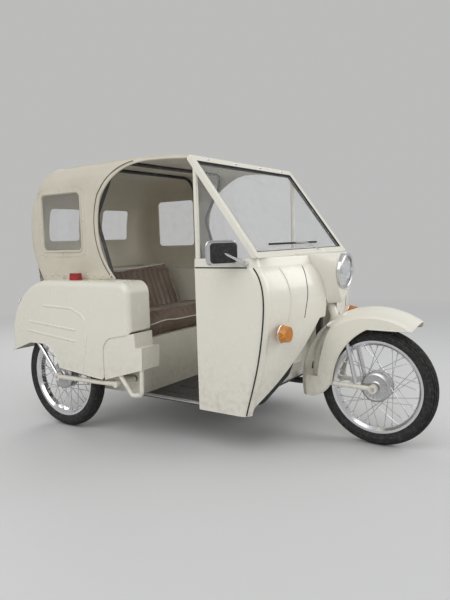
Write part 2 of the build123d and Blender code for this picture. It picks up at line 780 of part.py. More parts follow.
with BuildPart() as hood_skin:
    hood_form(HOOD_HALF, 0, HOOD_EDGE_R, Mode.ADD)
    hood_form(HOOD_HALF - HOOD_SHEET, HOOD_SHEET, HOOD_EDGE_R - HOOD_SHEET, Mode.SUBTRACT)
    edge = [(REAR_X + x, z) for x, z in ENTRY]
    with BuildSketch(side_plane(FENDER_OUTER)) as entry:
        with BuildLine():
            ThreePointArc(edge[0], edge[1], edge[2])
            ThreePointArc(edge[2], edge[3], edge[4])
            Polyline(
                edge[4],
                (HOOD_FRONT_X + 1, HOOD_FRONT_Z - HOOD_SHEET),
                (HOOD_FRONT_X + 1, 0),
                (edge[0][0], 0),
                edge[0],
            )
        make_face()
    extrude(entry.sketch, amount=2 * FENDER_OUTER, mode=Mode.SUBTRACT)
    tail_z = FENDER_TOP - (REAR_OVERHANG + FENDER_CREST)
    for name, side in SIDES:
        start = side * FENDER_OUTER if side > 0 else -FENDER_INNER + GAP
        with BuildSketch(side_plane(start)) as bed:
            with BuildLine():
                TangentArc(
                    (REAR_X + FENDER_CREST, FENDER_TOP + GAP),
                    (REAR_X - REAR_OVERHANG - GAP, tail_z),
                    tangent=(-1, 0),
                )
                Polyline(
                    (REAR_X - REAR_OVERHANG - GAP, tail_z),
                    (REAR_X + FENDER_FRONT, tail_z),
                    (REAR_X + FENDER_FRONT, FENDER_TOP + GAP),
                    (REAR_X + FENDER_CREST, FENDER_TOP + GAP),
                )
            make_face()
        extrude(bed.sketch, amount=FENDER_OUTER - FENDER_INNER + GAP, mode=Mode.SUBTRACT)
    window_x, window_z, window_w, window_h = SIDE_WINDOW
    with BuildSketch(side_plane(FENDER_OUTER)) as openings:
        with Locations((REAR_X + window_x, window_z)):
            RectangleRounded(window_w, window_h, 22)
    extrude(openings.sketch, amount=2 * FENDER_OUTER, mode=Mode.SUBTRACT)
    window_y, window_z, window_w, window_h = REAR_WINDOW
    with BuildSketch(Plane.YZ.offset(REAR_X - 400)) as openings:
        with Locations((window_y, window_z), (-window_y, window_z)):
            RectangleRounded(window_w, window_h, 22)
    extrude(openings.sketch, amount=300, mode=Mode.SUBTRACT)
keep(hood_skin, "hood_skin")

# Hood bows, standing on the fenders, and the clear window sheets
BOW_R = 9
BOW_Y = HOOD_HALF - HOOD_SHEET - BOW_R - GAP
BOW_TOP = HOOD_TOP - HOOD_SHEET - BOW_R - GAP
BOW_BEND = HOOD_EDGE_R + 10
BOWS = (  # x from the rear axle at the foot, at the waist and at the top, height of the waist
    (180, 150, 135, 1050),
    (322, 222, 372, 1085),
)
with BuildPart() as hood_bows:
    for foot_x, waist_x, top_x, waist_z in BOWS:
        leg = [
            (REAR_X + foot_x, -BOW_Y, FENDER_TOP + BOW_R + GAP),
            (REAR_X + waist_x, -BOW_Y, waist_z),
            (REAR_X + top_x, -BOW_Y, BOW_TOP),
        ]
        bent_tube((*leg, *[(x, -y, z) for x, y, z in reversed(leg)]), BOW_R, BOW_BEND)
keep(hood_bows, "hood_bows")

FILM = HOOD_SHEET - 2
with BuildPart() as hood_windows:
    window_x, window_z, window_w, window_h = SIDE_WINDOW
    for name, side in SIDES:
        with BuildSketch(side_plane(side * (HOOD_HALF - HOOD_SHEET / 2) + FILM / 2)) as film:
            with Locations((REAR_X + window_x, window_z)):
                RectangleRounded(window_w - 2 * GAP, window_h - 2 * GAP, 22)
        extrude(film.sketch, amount=FILM)
    window_y, window_z, window_w, window_h = REAR_WINDOW
    with BuildPart(mode=Mode.PRIVATE) as back_wall:
        extrude(hood_profile(HOOD_HALF, 1), amount=2 * HOOD_HALF)
        extrude(hood_profile(HOOD_HALF, HOOD_SHEET - 1), amount=2 * HOOD_HALF, mode=Mode.SUBTRACT)
    with BuildPart(mode=Mode.PRIVATE) as back_films:
        with BuildSketch(Plane.YZ.offset(REAR_X - 400)) as film:
            with Locations((window_y, window_z), (-window_y, window_z)):
                RectangleRounded(window_w - 2 * GAP, window_h - 2 * GAP, 22)
        extrude(film.sketch, amount=300)
        add(back_wall.part, mode=Mode.INTERSECT)
    add(back_films.part)
keep(hood_windows, "hood_windows")

# Seat: box over the engine, cushion and leaning backrest
SEAT_BOX_REAR_X = REAR_X + 70
SEAT_BOX_HALF = FENDER_INNER - GAP
CROSS_R = 15
CUSHION_REAR_X = REAR_X + 95
with BuildPart() as seat_box:
    block((SEAT_BOX_REAR_X, -SEAT_BOX_HALF, FLOOR_Z), (SEAT_FRONT_X, SEAT_BOX_HALF, SEAT_BOX_TOP))
    block(
        (SEAT_BOX_REAR_X - 1, -SEAT_BOX_HALF + SHEET, FLOOR_Z - 1),
        (SEAT_FRONT_X - SHEET, SEAT_BOX_HALF - SHEET, SEAT_BOX_TOP - SHEET),
        Mode.SUBTRACT,
    )
    rod((ARM_PIVOT_X, -FENDER_OUTER, ARM_Z), (ARM_PIVOT_X, FENDER_OUTER, ARM_Z), CROSS_R + GAP, Mode.SUBTRACT)
keep(seat_box, "seat_box")

with BuildPart() as seat_cushion:
    with BuildSketch(side_plane(SEAT_HALF)) as section:
        with BuildLine():
            Polyline(
                (SEAT_FRONT_X + 12, SEAT_BOX_TOP + GAP),
                (CUSHION_REAR_X, SEAT_BOX_TOP + GAP),
                (CUSHION_REAR_X, SEAT_BOX_TOP + CUSHION_H - 30),
                (SEAT_FRONT_X - 40, SEAT_BOX_TOP + CUSHION_H),
            )
            ThreePointArc(
                (SEAT_FRONT_X - 40, SEAT_BOX_TOP + CUSHION_H),
                (SEAT_FRONT_X + 8, SEAT_BOX_TOP + CUSHION_H - 28),
                (SEAT_FRONT_X + 12, SEAT_BOX_TOP + GAP),
            )
        make_face()
    extrude(section.sketch, amount=2 * SEAT_HALF)
keep(seat_cushion, "seat_cushion")

BACKREST_T = 95
BACKREST_LEAN = 21
BACKREST_H = 360
back_foot = (CUSHION_REAR_X - GAP, SEAT_BOX_TOP + 2)
with BuildPart() as seat_backrest:
    lean = radians(BACKREST_LEAN)
    up = Vector(-sin(lean), cos(lean))
    back = Vector(-cos(lean), -sin(lean))
    foot = Vector(*back_foot)
    head = foot + up * BACKREST_H
    with BuildSketch(side_plane(SEAT_HALF)) as section:
        with BuildLine():
            Line((foot.X, foot.Y), (head.X, head.Y))
            crown = head + back * (BACKREST_T / 2) + up * (BACKREST_T / 3)
            far = head + back * BACKREST_T
            ThreePointArc((head.X, head.Y), (crown.X, crown.Y), (far.X, far.Y))
            heel = foot + back * BACKREST_T
            Polyline((far.X, far.Y), (heel.X, heel.Y), (foot.X, foot.Y))
        make_face()
    extrude(section.sketch, amount=2 * SEAT_HALF)
    block(
        (SEAT_BOX_REAR_X - 1, -SEAT_BOX_HALF, 0),
        (SEAT_FRONT_X, SEAT_BOX_HALF, SEAT_BOX_TOP + GAP),
        Mode.SUBTRACT,
    )
keep(seat_backrest, "seat_backrest")

# Steering axis
head_lean = radians(RAKE)


def on_axis(distance):
    """A point on the steering axis, measured up from the foot of the head."""
    return (FRONT_X - HEAD_SETBACK - distance * sin(head_lean), 0, HEAD_Z + distance * cos(head_lean))


HEAD_R = STEM_R + GAP + HEAD_WALL
HEAD_END = HEAD_RISE + HEAD_LENGTH

# Frame: two rails that rise to the steering head, with cross tubes
FRAME_R = 17
RAIL_Y = 230
RAIL_Z = FLOOR_Z - FRAME_R - GAP
TUB_RAIL_Z = TUB_FLOOR - SHEET - FRAME_R - GAP
PIVOT_HALF = WHEEL_Y - ARM_Y - ARM_R - GAP
with BuildPart() as frame_tubes:
    for name, side in SIDES:
        rail_y = side * RAIL_Y
        bent_tube(
            (
                (REAR_X - 250, rail_y, TUB_RAIL_Z + 26),
                (REAR_X - 75, rail_y, TUB_RAIL_Z - 4),
                (REAR_X + 60, rail_y, RAIL_Z),
                (REAR_X + 1018, rail_y, RAIL_Z),
                (REAR_X + 1130, side * 180, 330),
                (REAR_X + 1186, side * 75, 585),
                on_axis(HEAD_RISE + 50),
            ),
            FRAME_R,
            45,
        )
        rod((ARM_PIVOT_X, rail_y, RAIL_Z), (ARM_PIVOT_X, rail_y, ARM_Z), FRAME_R - 2)
    rod((REAR_X - 235, -RAIL_Y, TUB_RAIL_Z + 24), (REAR_X - 235, RAIL_Y, TUB_RAIL_Z + 24), FRAME_R - 3)
    rod((REAR_X + 900, -RAIL_Y, RAIL_Z), (REAR_X + 900, RAIL_Y, RAIL_Z), FRAME_R - 3)
    rod((ARM_PIVOT_X, -PIVOT_HALF, ARM_Z), (ARM_PIVOT_X, PIVOT_HALF, ARM_Z), CROSS_R)
    rod(on_axis(HEAD_RISE), on_axis(HEAD_END), HEAD_R)
    rod(on_axis(HEAD_RISE - 30), on_axis(HEAD_END + 30), STEM_R + GAP, Mode.SUBTRACT)
keep(frame_tubes, "frame_tubes")

# Rear suspension: an arm with two legs, an axle and an outer damper at each wheel
EYE_R = 20
DAMPER_TOP = (-165, 470)
damper_run = hypot(DAMPER_TOP[0], DAMPER_TOP[1] - AXLE_Z)


def on_damper(distance, y):
    """A point on a rear damper's axis, measured up from the wheel's axle."""
    share = distance / damper_run
    return (REAR_X + DAMPER_TOP[0] * share, y, AXLE_Z + (DAMPER_TOP[1] - AXLE_Z) * share)


for name, side in SIDES:
    with BuildPart() as swing_arm:
        near_y = side * (WHEEL_Y - ARM_Y)
        far_y = side * (WHEEL_Y + ARM_Y)
        rod((ARM_PIVOT_X, near_y - side * ARM_R, ARM_Z), (ARM_PIVOT_X, far_y + side * ARM_R, ARM_Z), CROSS_R)
        for leg_y in (near_y, far_y):
            rod((ARM_PIVOT_X, leg_y, ARM_Z), (REAR_X, leg_y, AXLE_Z), ARM_R)
            rod((REAR_X, leg_y - ARM_R, AXLE_Z), (REAR_X, leg_y + ARM_R, AXLE_Z), EYE_R)
        rod((REAR_X, 0, AXLE_Z), (REAR_X, side * FENDER_OUTER, AXLE_Z), AXLE_R + GAP, Mode.SUBTRACT)
    keep(swing_arm, f"rear_swing_arm_{name}")

CHAIN_OFFSET = 176
CHAIN_Y = WHEEL_Y - CHAIN_OFFSET
CHAIN_W = 30
with BuildPart() as rear_axles:
    for side, inner in ((-1, WHEEL_Y - ARM_Y - ARM_R - 8), (1, CHAIN_Y - CHAIN_W / 2 - 6)):
        rod((REAR_X, side * inner, AXLE_Z), (REAR_X, side * (WHEEL_Y + ARM_Y + ARM_R + 3), AXLE_Z), AXLE_R)
keep(rear_axles, "rear_axles")

DAMPER_WAIST = 0.55 * damper_run
DAMPER_STUD = damper_run - 14
STUD_R = 9
with BuildPart() as rear_dampers:
    for name, side in SIDES:
        damper_y = side * (WHEEL_Y + ARM_Y)
        rod(on_damper(EYE_R + GAP, damper_y), on_damper(DAMPER_WAIST, damper_y), DAMPER_R - 3)
        rod(on_damper(DAMPER_WAIST, damper_y), on_damper(damper_run, damper_y), DAMPER_R)
        stud_end = side * (FENDER_OUTER - SHEET - GAP)
        rod(on_damper(DAMPER_STUD, damper_y), on_damper(DAMPER_STUD, stud_end), STUD_R)
keep(rear_dampers, "rear_dampers")

# Engine, chain case and exhaust
ENGINE_REAR_X = REAR_X + 110
ENGINE_FRONT_X = REAR_X + 350
ENGINE_RIGHT = 70
ENGINE_LEFT = CHAIN_Y - CHAIN_W / 2 - GAP
ENGINE_TOP = 430
with BuildPart() as engine_block:
    block((ENGINE_REAR_X, ENGINE_RIGHT, RAIL_Z + FRAME_R + GAP), (ENGINE_FRONT_X, ENGINE_LEFT, ENGINE_TOP))
keep(engine_block, "engine_block")

SPROCKET_X = REAR_X + 165
CHAIN_CASE_R = 52
with BuildPart() as chain_case:
    with BuildSketch(side_plane(CHAIN_Y + CHAIN_W / 2)) as case:
        with BuildLine():
            Line((REAR_X, AXLE_Z + CHAIN_CASE_R), (SPROCKET_X, AXLE_Z + CHAIN_CASE_R))
            ThreePointArc(
                (SPROCKET_X, AXLE_Z + CHAIN_CASE_R),
                (SPROCKET_X + CHAIN_CASE_R, AXLE_Z),
                (SPROCKET_X, AXLE_Z - CHAIN_CASE_R),
            )
            Line((SPROCKET_X, AXLE_Z - CHAIN_CASE_R), (REAR_X, AXLE_Z - CHAIN_CASE_R))
            ThreePointArc(
                (REAR_X, AXLE_Z - CHAIN_CASE_R),
                (REAR_X - CHAIN_CASE_R, AXLE_Z),
                (REAR_X, AXLE_Z + CHAIN_CASE_R),
            )
        make_face()
    extrude(case.sketch, amount=CHAIN_W)
    rod((REAR_X, 0, AXLE_Z), (REAR_X, FENDER_OUTER, AXLE_Z), AXLE_R + GAP, Mode.SUBTRACT)
keep(chain_case, "chain_case")

SILENCER_R = 38
SILENCER_Y = -120
SILENCER_Z = 255
with BuildPart() as exhaust:
    bent_tube(
        (
            (REAR_X + 240, ENGINE_RIGHT - GAP, 300),
            (REAR_X + 240, -40, 300),
            (REAR_X + 130, SILENCER_Y, SILENCER_Z),
            (REAR_X + 20, SILENCER_Y, SILENCER_Z),
        ),
        14,
        30,
    )
    rod((REAR_X + 40, SILENCER_Y, SILENCER_Z), (REAR_X - 230, SILENCER_Y, SILENCER_Z), SILENCER_R)
    rod((REAR_X - 230, SILENCER_Y, SILENCER_Z), (REAR_X - 290, SILENCER_Y, SILENCER_Z), 11)
keep(exhaust, "exhaust")

# Step loops under the side boxes
STEP_R = 11
STEP_Y = FENDER_OUTER - 20
with BuildPart() as step_loops:
    for name, side in SIDES:
        bent_tube(
            (
                (REAR_X + 444, side * STEP_Y, BOX_BOTTOM + 40),
                (REAR_X + 528, side * STEP_Y, 240),
                (REAR_X + 588, side * STEP_Y, 250),
                (REAR_X + 594, side * STEP_Y, BOX_BOTTOM + 90),
            ),
            STEP_R,
            22,
        )
    extrude(box_profile(FENDER_OUTER + 1, GAP), amount=2 * FENDER_OUTER + 2, mode=Mode.SUBTRACT)
keep(step_loops, "step_loops")

# Lamps at the rear: tail lamps on the fenders' backs and markers on their tops
TAIL_Z = 640
TAIL_R = 30
TAIL_Y = WHEEL_Y + 5
with BuildPart() as tail_lamps:
    for name, side in SIDES:
        rod((REAR_X - 322, side * TAIL_Y, TAIL_Z), (REAR_X - 200, side * TAIL_Y, TAIL_Z), TAIL_R)
    extrude(fender_profile(FENDER_OUTER, -GAP), amount=2 * FENDER_OUTER, mode=Mode.SUBTRACT)
keep(tail_lamps, "tail_lamps")

MARKER_X = REAR_X + 115
with BuildPart() as marker_lamps:
    for name, side in SIDES:
        with BuildSketch(Plane.XY.offset(FENDER_TOP + GAP)) as base:
            with Locations((MARKER_X, side * WHEEL_Y)):
                RectangleRounded(64, 40, 8)
        extrude(base.sketch, amount=34, taper=6)
keep(marker_lamps, "marker_lamps")

# Fork: stem through the head, a curved leg behind the wheel and the pivot of the front links
FORK_KNEE = (-292, 150)
PIVOT_RISE = 8
PIVOT_R = 14
STEM_TOP = HEAD_END + 46
COLLAR_R = HEAD_R + 2
pivot = (FRONT_X - LINK_PIVOT, AXLE_Z + PIVOT_RISE)
BAR_ROOT = 46
CLAMP_HALF = 24
CLAMP_WALL = 7
stem_top = on_axis(STEM_TOP)
bar_z = stem_top[2] + STEM_R * sin(head_lean) + BAR_R + GAP


def fork_leg(radius, mode):
    """The curved leg from the stem down behind the wheel to the link pivot."""
    bent_tube(
        (
            on_axis(-10),
            on_axis(-70),
            (FRONT_X + FORK_KNEE[0], 0, AXLE_Z + FORK_KNEE[1]),
            (pivot[0], 0, pivot[1]),
        ),
        radius,
        60,
        mode,
    )


with BuildPart() as steering_fork:
    rod(on_axis(-60), on_axis(STEM_TOP), STEM_R)
    rod(on_axis(HEAD_RISE - 14), on_axis(HEAD_RISE - GAP), COLLAR_R)
    rod(on_axis(HEAD_END + GAP), on_axis(HEAD_END + 10), COLLAR_R)
    fork_leg(FORK_R, Mode.ADD)
    rod((pivot[0], -LINK_Y + LINK_R + GAP, pivot[1]), (pivot[0], LINK_Y - LINK_R - GAP, pivot[1]), PIVOT_R)
    rod((stem_top[0], -CLAMP_HALF, bar_z), (stem_top[0], CLAMP_HALF, bar_z), BAR_R + CLAMP_WALL)
    rod((stem_top[0], -BAR_ROOT, bar_z), (stem_top[0], BAR_ROOT, bar_z), BAR_R + GAP, Mode.SUBTRACT)
keep(steering_fork, "steering_fork")

with BuildPart() as front_links:
    for name, side in SIDES:
        link_y = side * LINK_Y
        rod((pivot[0], link_y, pivot[1]), (FRONT_X, link_y, AXLE_Z), LINK_R)
        rod((pivot[0], link_y - LINK_R, pivot[1]), (pivot[0], link_y + LINK_R, pivot[1]), PIVOT_R)
        rod((FRONT_X, link_y - LINK_R, AXLE_Z), (FRONT_X, link_y + LINK_R, AXLE_Z), EYE_R)
    rod((FRONT_X, -LINK_Y * 2, AXLE_Z), (FRONT_X, LINK_Y * 2, AXLE_Z), AXLE_R + GAP, Mode.SUBTRACT)
keep(front_links, "front_links")

with BuildPart() as front_axle:
    axle_half = LINK_Y + LINK_R + 6
    rod((FRONT_X, -axle_half, AXLE_Z), (FRONT_X, axle_half, AXLE_Z), AXLE_R)
keep(front_axle, "front_axle")

# Front fender: a deep rounded trough about the axle, cut to its swept lower edge
FENDER_WAIST = FENDER_R - FENDER_SHOULDER
FENDER_RIM_R = 180
front_centre = (FRONT_X, 0, AXLE_Z)
tip_angle = radians(FENDER_FRONT_DEG)
tip_plane = Plane(
    origin=front_centre, x_dir=(cos(tip_angle), 0, sin(tip_angle)), z_dir=(-sin(tip_angle), 0, cos(tip_angle))
)
VALANCE_Z = AXLE_Z + 274
FENDER_SPINE = 44
LEG_SLOT = (  # x and height from the axle, round the part of the wall beside the fork leg
    (-196, 272),
    (-226, 203),
    (-251, 110),
    (-262, 34),
    (-400, 34),
    (-400, 272),
)
with BuildPart() as front_fender:
    with BuildSketch(tip_plane) as trough:
        inner_half = FENDER_HALF - FENDER_SHEET
        inner_r = FENDER_R - FENDER_SHEET
        with BuildLine():
            Line((FENDER_RIM_R, -FENDER_HALF), (FENDER_WAIST, -FENDER_HALF))
            ThreePointArc((FENDER_WAIST, -FENDER_HALF), (FENDER_R, 0), (FENDER_WAIST, FENDER_HALF))
            Polyline(
                (FENDER_WAIST, FENDER_HALF), (FENDER_RIM_R, FENDER_HALF), (FENDER_RIM_R, inner_half),
                (FENDER_WAIST, inner_half),
            )
            ThreePointArc((FENDER_WAIST, inner_half), (inner_r, 0), (FENDER_WAIST, -inner_half))
            Polyline((FENDER_WAIST, -inner_half), (FENDER_RIM_R, -inner_half), (FENDER_RIM_R, -FENDER_HALF))
        make_face()
    revolve(
        trough.sketch, axis=Axis(front_centre, (0, -1, 0)), revolution_arc=FENDER_BACK_DEG - FENDER_FRONT_DEG
    )
    with BuildSketch(side_plane(FENDER_HALF + 1)) as swept:
        with BuildLine():
            Line((FRONT_X + 400, VALANCE_Z), (FRONT_X - 22, VALANCE_Z))
            ThreePointArc(
                (FRONT_X - 22, VALANCE_Z), (FRONT_X - 132, AXLE_Z + 180), (FRONT_X - 190, AXLE_Z + 20)
            )
            ThreePointArc(
                (FRONT_X - 190, AXLE_Z + 20), (FRONT_X - 230, AXLE_Z - 34), (FRONT_X - 300, AXLE_Z - 62)
            )
            Polyline(
                (FRONT_X - 300, AXLE_Z - 62),
                (FRONT_X - 420, AXLE_Z - 70),
                (FRONT_X - 420, 0),
                (FRONT_X + 400, 0),
                (FRONT_X + 400, VALANCE_Z),
            )
        make_face()
    extrude(swept.sketch, amount=2 * FENDER_HALF + 2, mode=Mode.SUBTRACT)
    for name, side in SIDES:
        with BuildSketch(side_plane(FENDER_HALF + 1 if side > 0 else -FENDER_SPINE)) as leg_slot:
            with BuildLine():
                Polyline(*[(FRONT_X + x, AXLE_Z + z) for x, z in LEG_SLOT], close=True)
            make_face()
        extrude(leg_slot.sketch, amount=FENDER_HALF + 1 - FENDER_SPINE, mode=Mode.SUBTRACT)
    fork_leg(FORK_R + GAP, Mode.SUBTRACT)
    rod(on_axis(-60), on_axis(60), FORK_R + GAP, Mode.SUBTRACT)
keep(front_fender, "front_fender")

DAMPER_FOOT = (-80, 0)
DAMPER_HEAD = (-124, 206)
FRONT_DAMPER_R = 10
with BuildPart() as front_dampers:
    for name, side in SIDES:
        damper_y = side * LINK_Y
        foot_z = AXLE_Z + PIVOT_RISE + LINK_R + GAP
        head = (FRONT_X + DAMPER_HEAD[0], damper_y, AXLE_Z + DAMPER_HEAD[1])
        rod((FRONT_X + DAMPER_FOOT[0], damper_y, foot_z), head, FRONT_DAMPER_R)
        rod(head, (head[0], side * (FENDER_HALF - FENDER_SHEET - GAP), head[2]), FRONT_DAMPER_R - 2)
keep(front_dampers, "front_dampers")

# Handlebar swept back to the seat, with grips
grip_end_x = stem_top[0] - BAR_SWEEP
with BuildPart() as handlebar:
    bent_tube(
        (
            (grip_end_x, -BAR_HALF, BAR_Z),
            (grip_end_x + GRIP_RUN, -BAR_HALF, BAR_Z),
            (stem_top[0], -BAR_ROOT, bar_z),
            (stem_top[0], BAR_ROOT, bar_z),
            (grip_end_x + GRIP_RUN, BAR_HALF, BAR_Z),
            (grip_end_x, BAR_HALF, BAR_Z),
        ),
        BAR_R,
        BAR_BEND,
    )
keep(handlebar, "handlebar")

with BuildPart() as hand_grips:
    for name, side in SIDES:
        grip_y = side * BAR_HALF
        rod((grip_end_x - 8, grip_y, BAR_Z), (grip_end_x + GRIP_LENGTH, grip_y, BAR_Z), GRIP_R)
        rod(
            (grip_end_x - GAP, side * BAR_HALF, BAR_Z),
            (grip_end_x + GRIP_LENGTH + 1, side * BAR_HALF, BAR_Z),
            BAR_R + GAP,
            Mode.SUBTRACT,
        )
keep(hand_grips, "hand_grips")
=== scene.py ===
"""Three-wheeled moped: surfaces, soft goods and fine detail over the measured frame."""

import json
from math import atan2, cos, hypot, pi, radians, sin

import bmesh
import bpy
from mathutils import Matrix, Vector, noise
from mathutils.bvhtree import BVHTree


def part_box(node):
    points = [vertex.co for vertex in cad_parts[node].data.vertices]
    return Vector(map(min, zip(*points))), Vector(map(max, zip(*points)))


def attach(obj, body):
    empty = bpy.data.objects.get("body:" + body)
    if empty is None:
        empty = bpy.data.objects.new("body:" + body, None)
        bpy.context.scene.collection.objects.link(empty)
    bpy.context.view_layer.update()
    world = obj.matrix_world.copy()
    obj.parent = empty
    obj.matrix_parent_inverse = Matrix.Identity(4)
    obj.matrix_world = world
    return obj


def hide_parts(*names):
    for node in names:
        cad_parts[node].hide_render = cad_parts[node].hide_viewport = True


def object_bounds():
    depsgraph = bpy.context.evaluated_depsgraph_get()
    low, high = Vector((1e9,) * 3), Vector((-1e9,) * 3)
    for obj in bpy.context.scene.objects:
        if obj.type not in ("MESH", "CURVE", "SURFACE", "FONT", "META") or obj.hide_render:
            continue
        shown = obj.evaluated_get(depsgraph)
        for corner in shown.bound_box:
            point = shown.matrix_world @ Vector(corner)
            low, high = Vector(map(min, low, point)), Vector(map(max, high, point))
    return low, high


bl_info = {
    "name": "Three-wheeled moped",
    "version": (1, 0, 0),
    "blender": (4, 5, 0),
    "location": "3D View > Sidebar > Moped",
    "description": "Dresses the measured moped with surfaces, soft goods and fine detail",
    "category": "Object",
}

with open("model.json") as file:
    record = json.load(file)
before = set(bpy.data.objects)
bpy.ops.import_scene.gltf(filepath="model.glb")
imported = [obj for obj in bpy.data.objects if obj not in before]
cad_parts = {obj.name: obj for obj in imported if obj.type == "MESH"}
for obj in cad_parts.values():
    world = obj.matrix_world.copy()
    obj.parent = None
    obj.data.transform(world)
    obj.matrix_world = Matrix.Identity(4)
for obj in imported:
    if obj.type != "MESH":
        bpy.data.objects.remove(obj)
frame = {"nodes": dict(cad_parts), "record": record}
CAD_LOW, CAD_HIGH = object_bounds()
WHEELS = (
    ("front", "front_wheel"),
    ("rear_right", "rear_wheel_right"),
    ("rear_left", "rear_wheel_left"),
)
SIDES = (("right", -1), ("left", 1))
GLOSS = {}


class Value:
    """A number that varies over a surface; arithmetic on it adds Math nodes."""

    def __init__(self, surface, socket):
        self.surface = surface
        self.socket = socket

    def math(self, operation, first, second):
        return self.surface.add("ShaderNodeMath", {"operation": operation}, {0: first, 1: second})

    def __add__(self, other):
        return self.math("ADD", self, other)

    def __radd__(self, other):
        return self.math("ADD", other, self)

    def __sub__(self, other):
        return self.math("SUBTRACT", self, other)

    def __rsub__(self, other):
        return self.math("SUBTRACT", other, self)

    def __mul__(self, other):
        return self.math("MULTIPLY", self, other)

    def __rmul__(self, other):
        return self.math("MULTIPLY", other, self)


class Nodes:
    """A shader tree that grows node by node."""

    def __init__(self, tree):
        self.tree = tree

    def add(self, kind, settings, sockets, output=0):
        """One node with its settings and inputs; gives back one of its outputs."""
        node = self.tree.nodes.new(kind)
        for key, value in settings.items():
            setattr(node, key, value)
        for key, value in sockets.items():
            if isinstance(value, Value):
                self.tree.links.new(value.socket, node.inputs[key])
            else:
                node.inputs[key].default_value = value
        return Value(self, node.outputs[output])

    def seen(self):
        """1 for what the camera sees, straight, mirrored or through glass, and 0 for light."""
        kinds = ("Camera", "Glossy", "Transmission")
        rays = [self.add("ShaderNodeLightPath", {}, {}, f"Is {kind} Ray") for kind in kinds]
        return self.add("ShaderNodeMath", {"operation": "MINIMUM"}, {0: rays[0] + rays[1] + rays[2], 1: 1.0})


class Surface(Nodes):
    """A procedural material on the object's own coordinates."""

    def __init__(self, name, **constants):
        self.material = bpy.data.materials.new(name)
        self.material.use_nodes = True
        super().__init__(self.material.node_tree)
        self.shader = self.tree.nodes["Principled BSDF"]
        self.place = self.add("ShaderNodeTexCoord", {}, {}, "Object")
        for socket, value in constants.items():
            self.shader.inputs[socket.replace("_", " ")].default_value = value
        GLOSS[name] = self.material

    def noise(self, scale, detail=3.0, stretch=(1, 1, 1)):
        """Soft cloudy variation from 0 to 1, so many patches a metre."""
        spread = self.add("ShaderNodeVectorMath", {"operation": "MULTIPLY"}, {0: self.place, 1: stretch})
        return self.add("ShaderNodeTexNoise", {}, {"Vector": spread, "Scale": scale, "Detail": detail}, "Fac")

    def stripes(self, scale, direction="X"):
        """Fine regular ridges across one axis."""
        settings = {"wave_type": "BANDS", "bands_direction": direction}
        return self.add("ShaderNodeTexWave", settings, {"Vector": self.place, "Scale": scale}, "Fac")

    def height(self):
        """Height above the ground, in metres."""
        return self.add("ShaderNodeSeparateXYZ", {}, {0: self.place}, "Z")

    def ramp(self, value, low, high):
        """The value stretched so that low gives 0 and high gives 1."""
        return self.add("ShaderNodeMapRange", {}, {"Value": value, "From Min": low, "From Max": high})

    def blend(self, share, first, second):
        """A colour between two others."""
        settings = {"data_type": "RGBA"}
        return self.add("ShaderNodeMix", settings, {0: share, 6: first, 7: second}, 2)

    def bump(self, value, strength, distance):
        """Fine relief from a value."""
        sockets = {"Height": value, "Strength": strength, "Distance": distance}
        self.feed("Normal", self.add("ShaderNodeBump", {}, sockets))

    def feed(self, socket, value):
        """Join a varying value to one of the shader's inputs."""
        self.tree.links.new(value.socket, self.shader.inputs[socket])


def tone(colour, factor):
    """A colour made lighter or darker, with full alpha."""
    return tuple(min(1.0, part * factor) for part in colour[:3]) + (1.0,)


def gloss_paint(name, colour, dust=0.5):
    """Enamel with faint ripples, and road dust that thickens toward the ground."""
    surface = Surface(name, Coat_Weight=0.35, Coat_Roughness=0.14, Specular_IOR_Level=0.5)
    clouds = surface.noise(3.0)
    low = surface.ramp(surface.height(), 0.55, 0.1)
    specks = surface.ramp(surface.noise(38.0, 6.0), 0.45, 0.75)
    film = low * specks * dust + low * dust * 0.2
    enamel = surface.blend(clouds, tone(colour, 0.95), tone(colour, 1.02))
    surface.feed("Base Color", surface.blend(film, enamel, (0.42, 0.36, 0.28, 1)))
    surface.feed("Roughness", surface.noise(14.0) * 0.12 + film * 0.4 + 0.2)
    surface.bump(surface.noise(190.0, 1.0), 0.08, 0.0004)


def satin_paint(name, colour):
    """Black stove enamel, dulled and dusty in its hollows."""
    surface = Surface(name, Specular_IOR_Level=0.45)
    specks = surface.ramp(surface.noise(30.0, 6.0), 0.5, 0.8)
    surface.feed("Base Color", surface.blend(specks * 0.35, tone(colour, 1.0), (0.2, 0.18, 0.15, 1)))
    surface.feed("Roughness", surface.noise(20.0) * 0.25 + 0.32)
    surface.bump(surface.noise(150.0), 0.1, 0.0005)


def bright_metal(name, colour, roughness, pits):
    """Plated or cast metal with handling marks and fine pits."""
    surface = Surface(name, Metallic=1.0)
    marks = surface.noise(9.0, 5.0)
    surface.feed("Base Color", surface.blend(marks, tone(colour, 0.86), tone(colour, 1.04)))
    surface.feed("Roughness", surface.ramp(marks, 0.3, 0.75) * 0.14 + roughness)
    surface.bump(surface.noise(260.0, 2.0), pits, 0.0004)


def black_rubber(name, colour, dust):
    """Rubber with a chalky bloom and dust in its grooves."""
    surface = Surface(name, Specular_IOR_Level=0.3)
    bloom = surface.ramp(surface.noise(75.0, 7.0), 0.45, 0.85)
    surface.feed("Base Color", surface.blend(bloom * dust, tone(colour, 1.0), (0.19, 0.17, 0.145, 1)))
    surface.feed("Roughness", surface.noise(40.0) * 0.2 + 0.62)
    surface.bump(surface.noise(320.0, 3.0), 0.22, 0.0006)


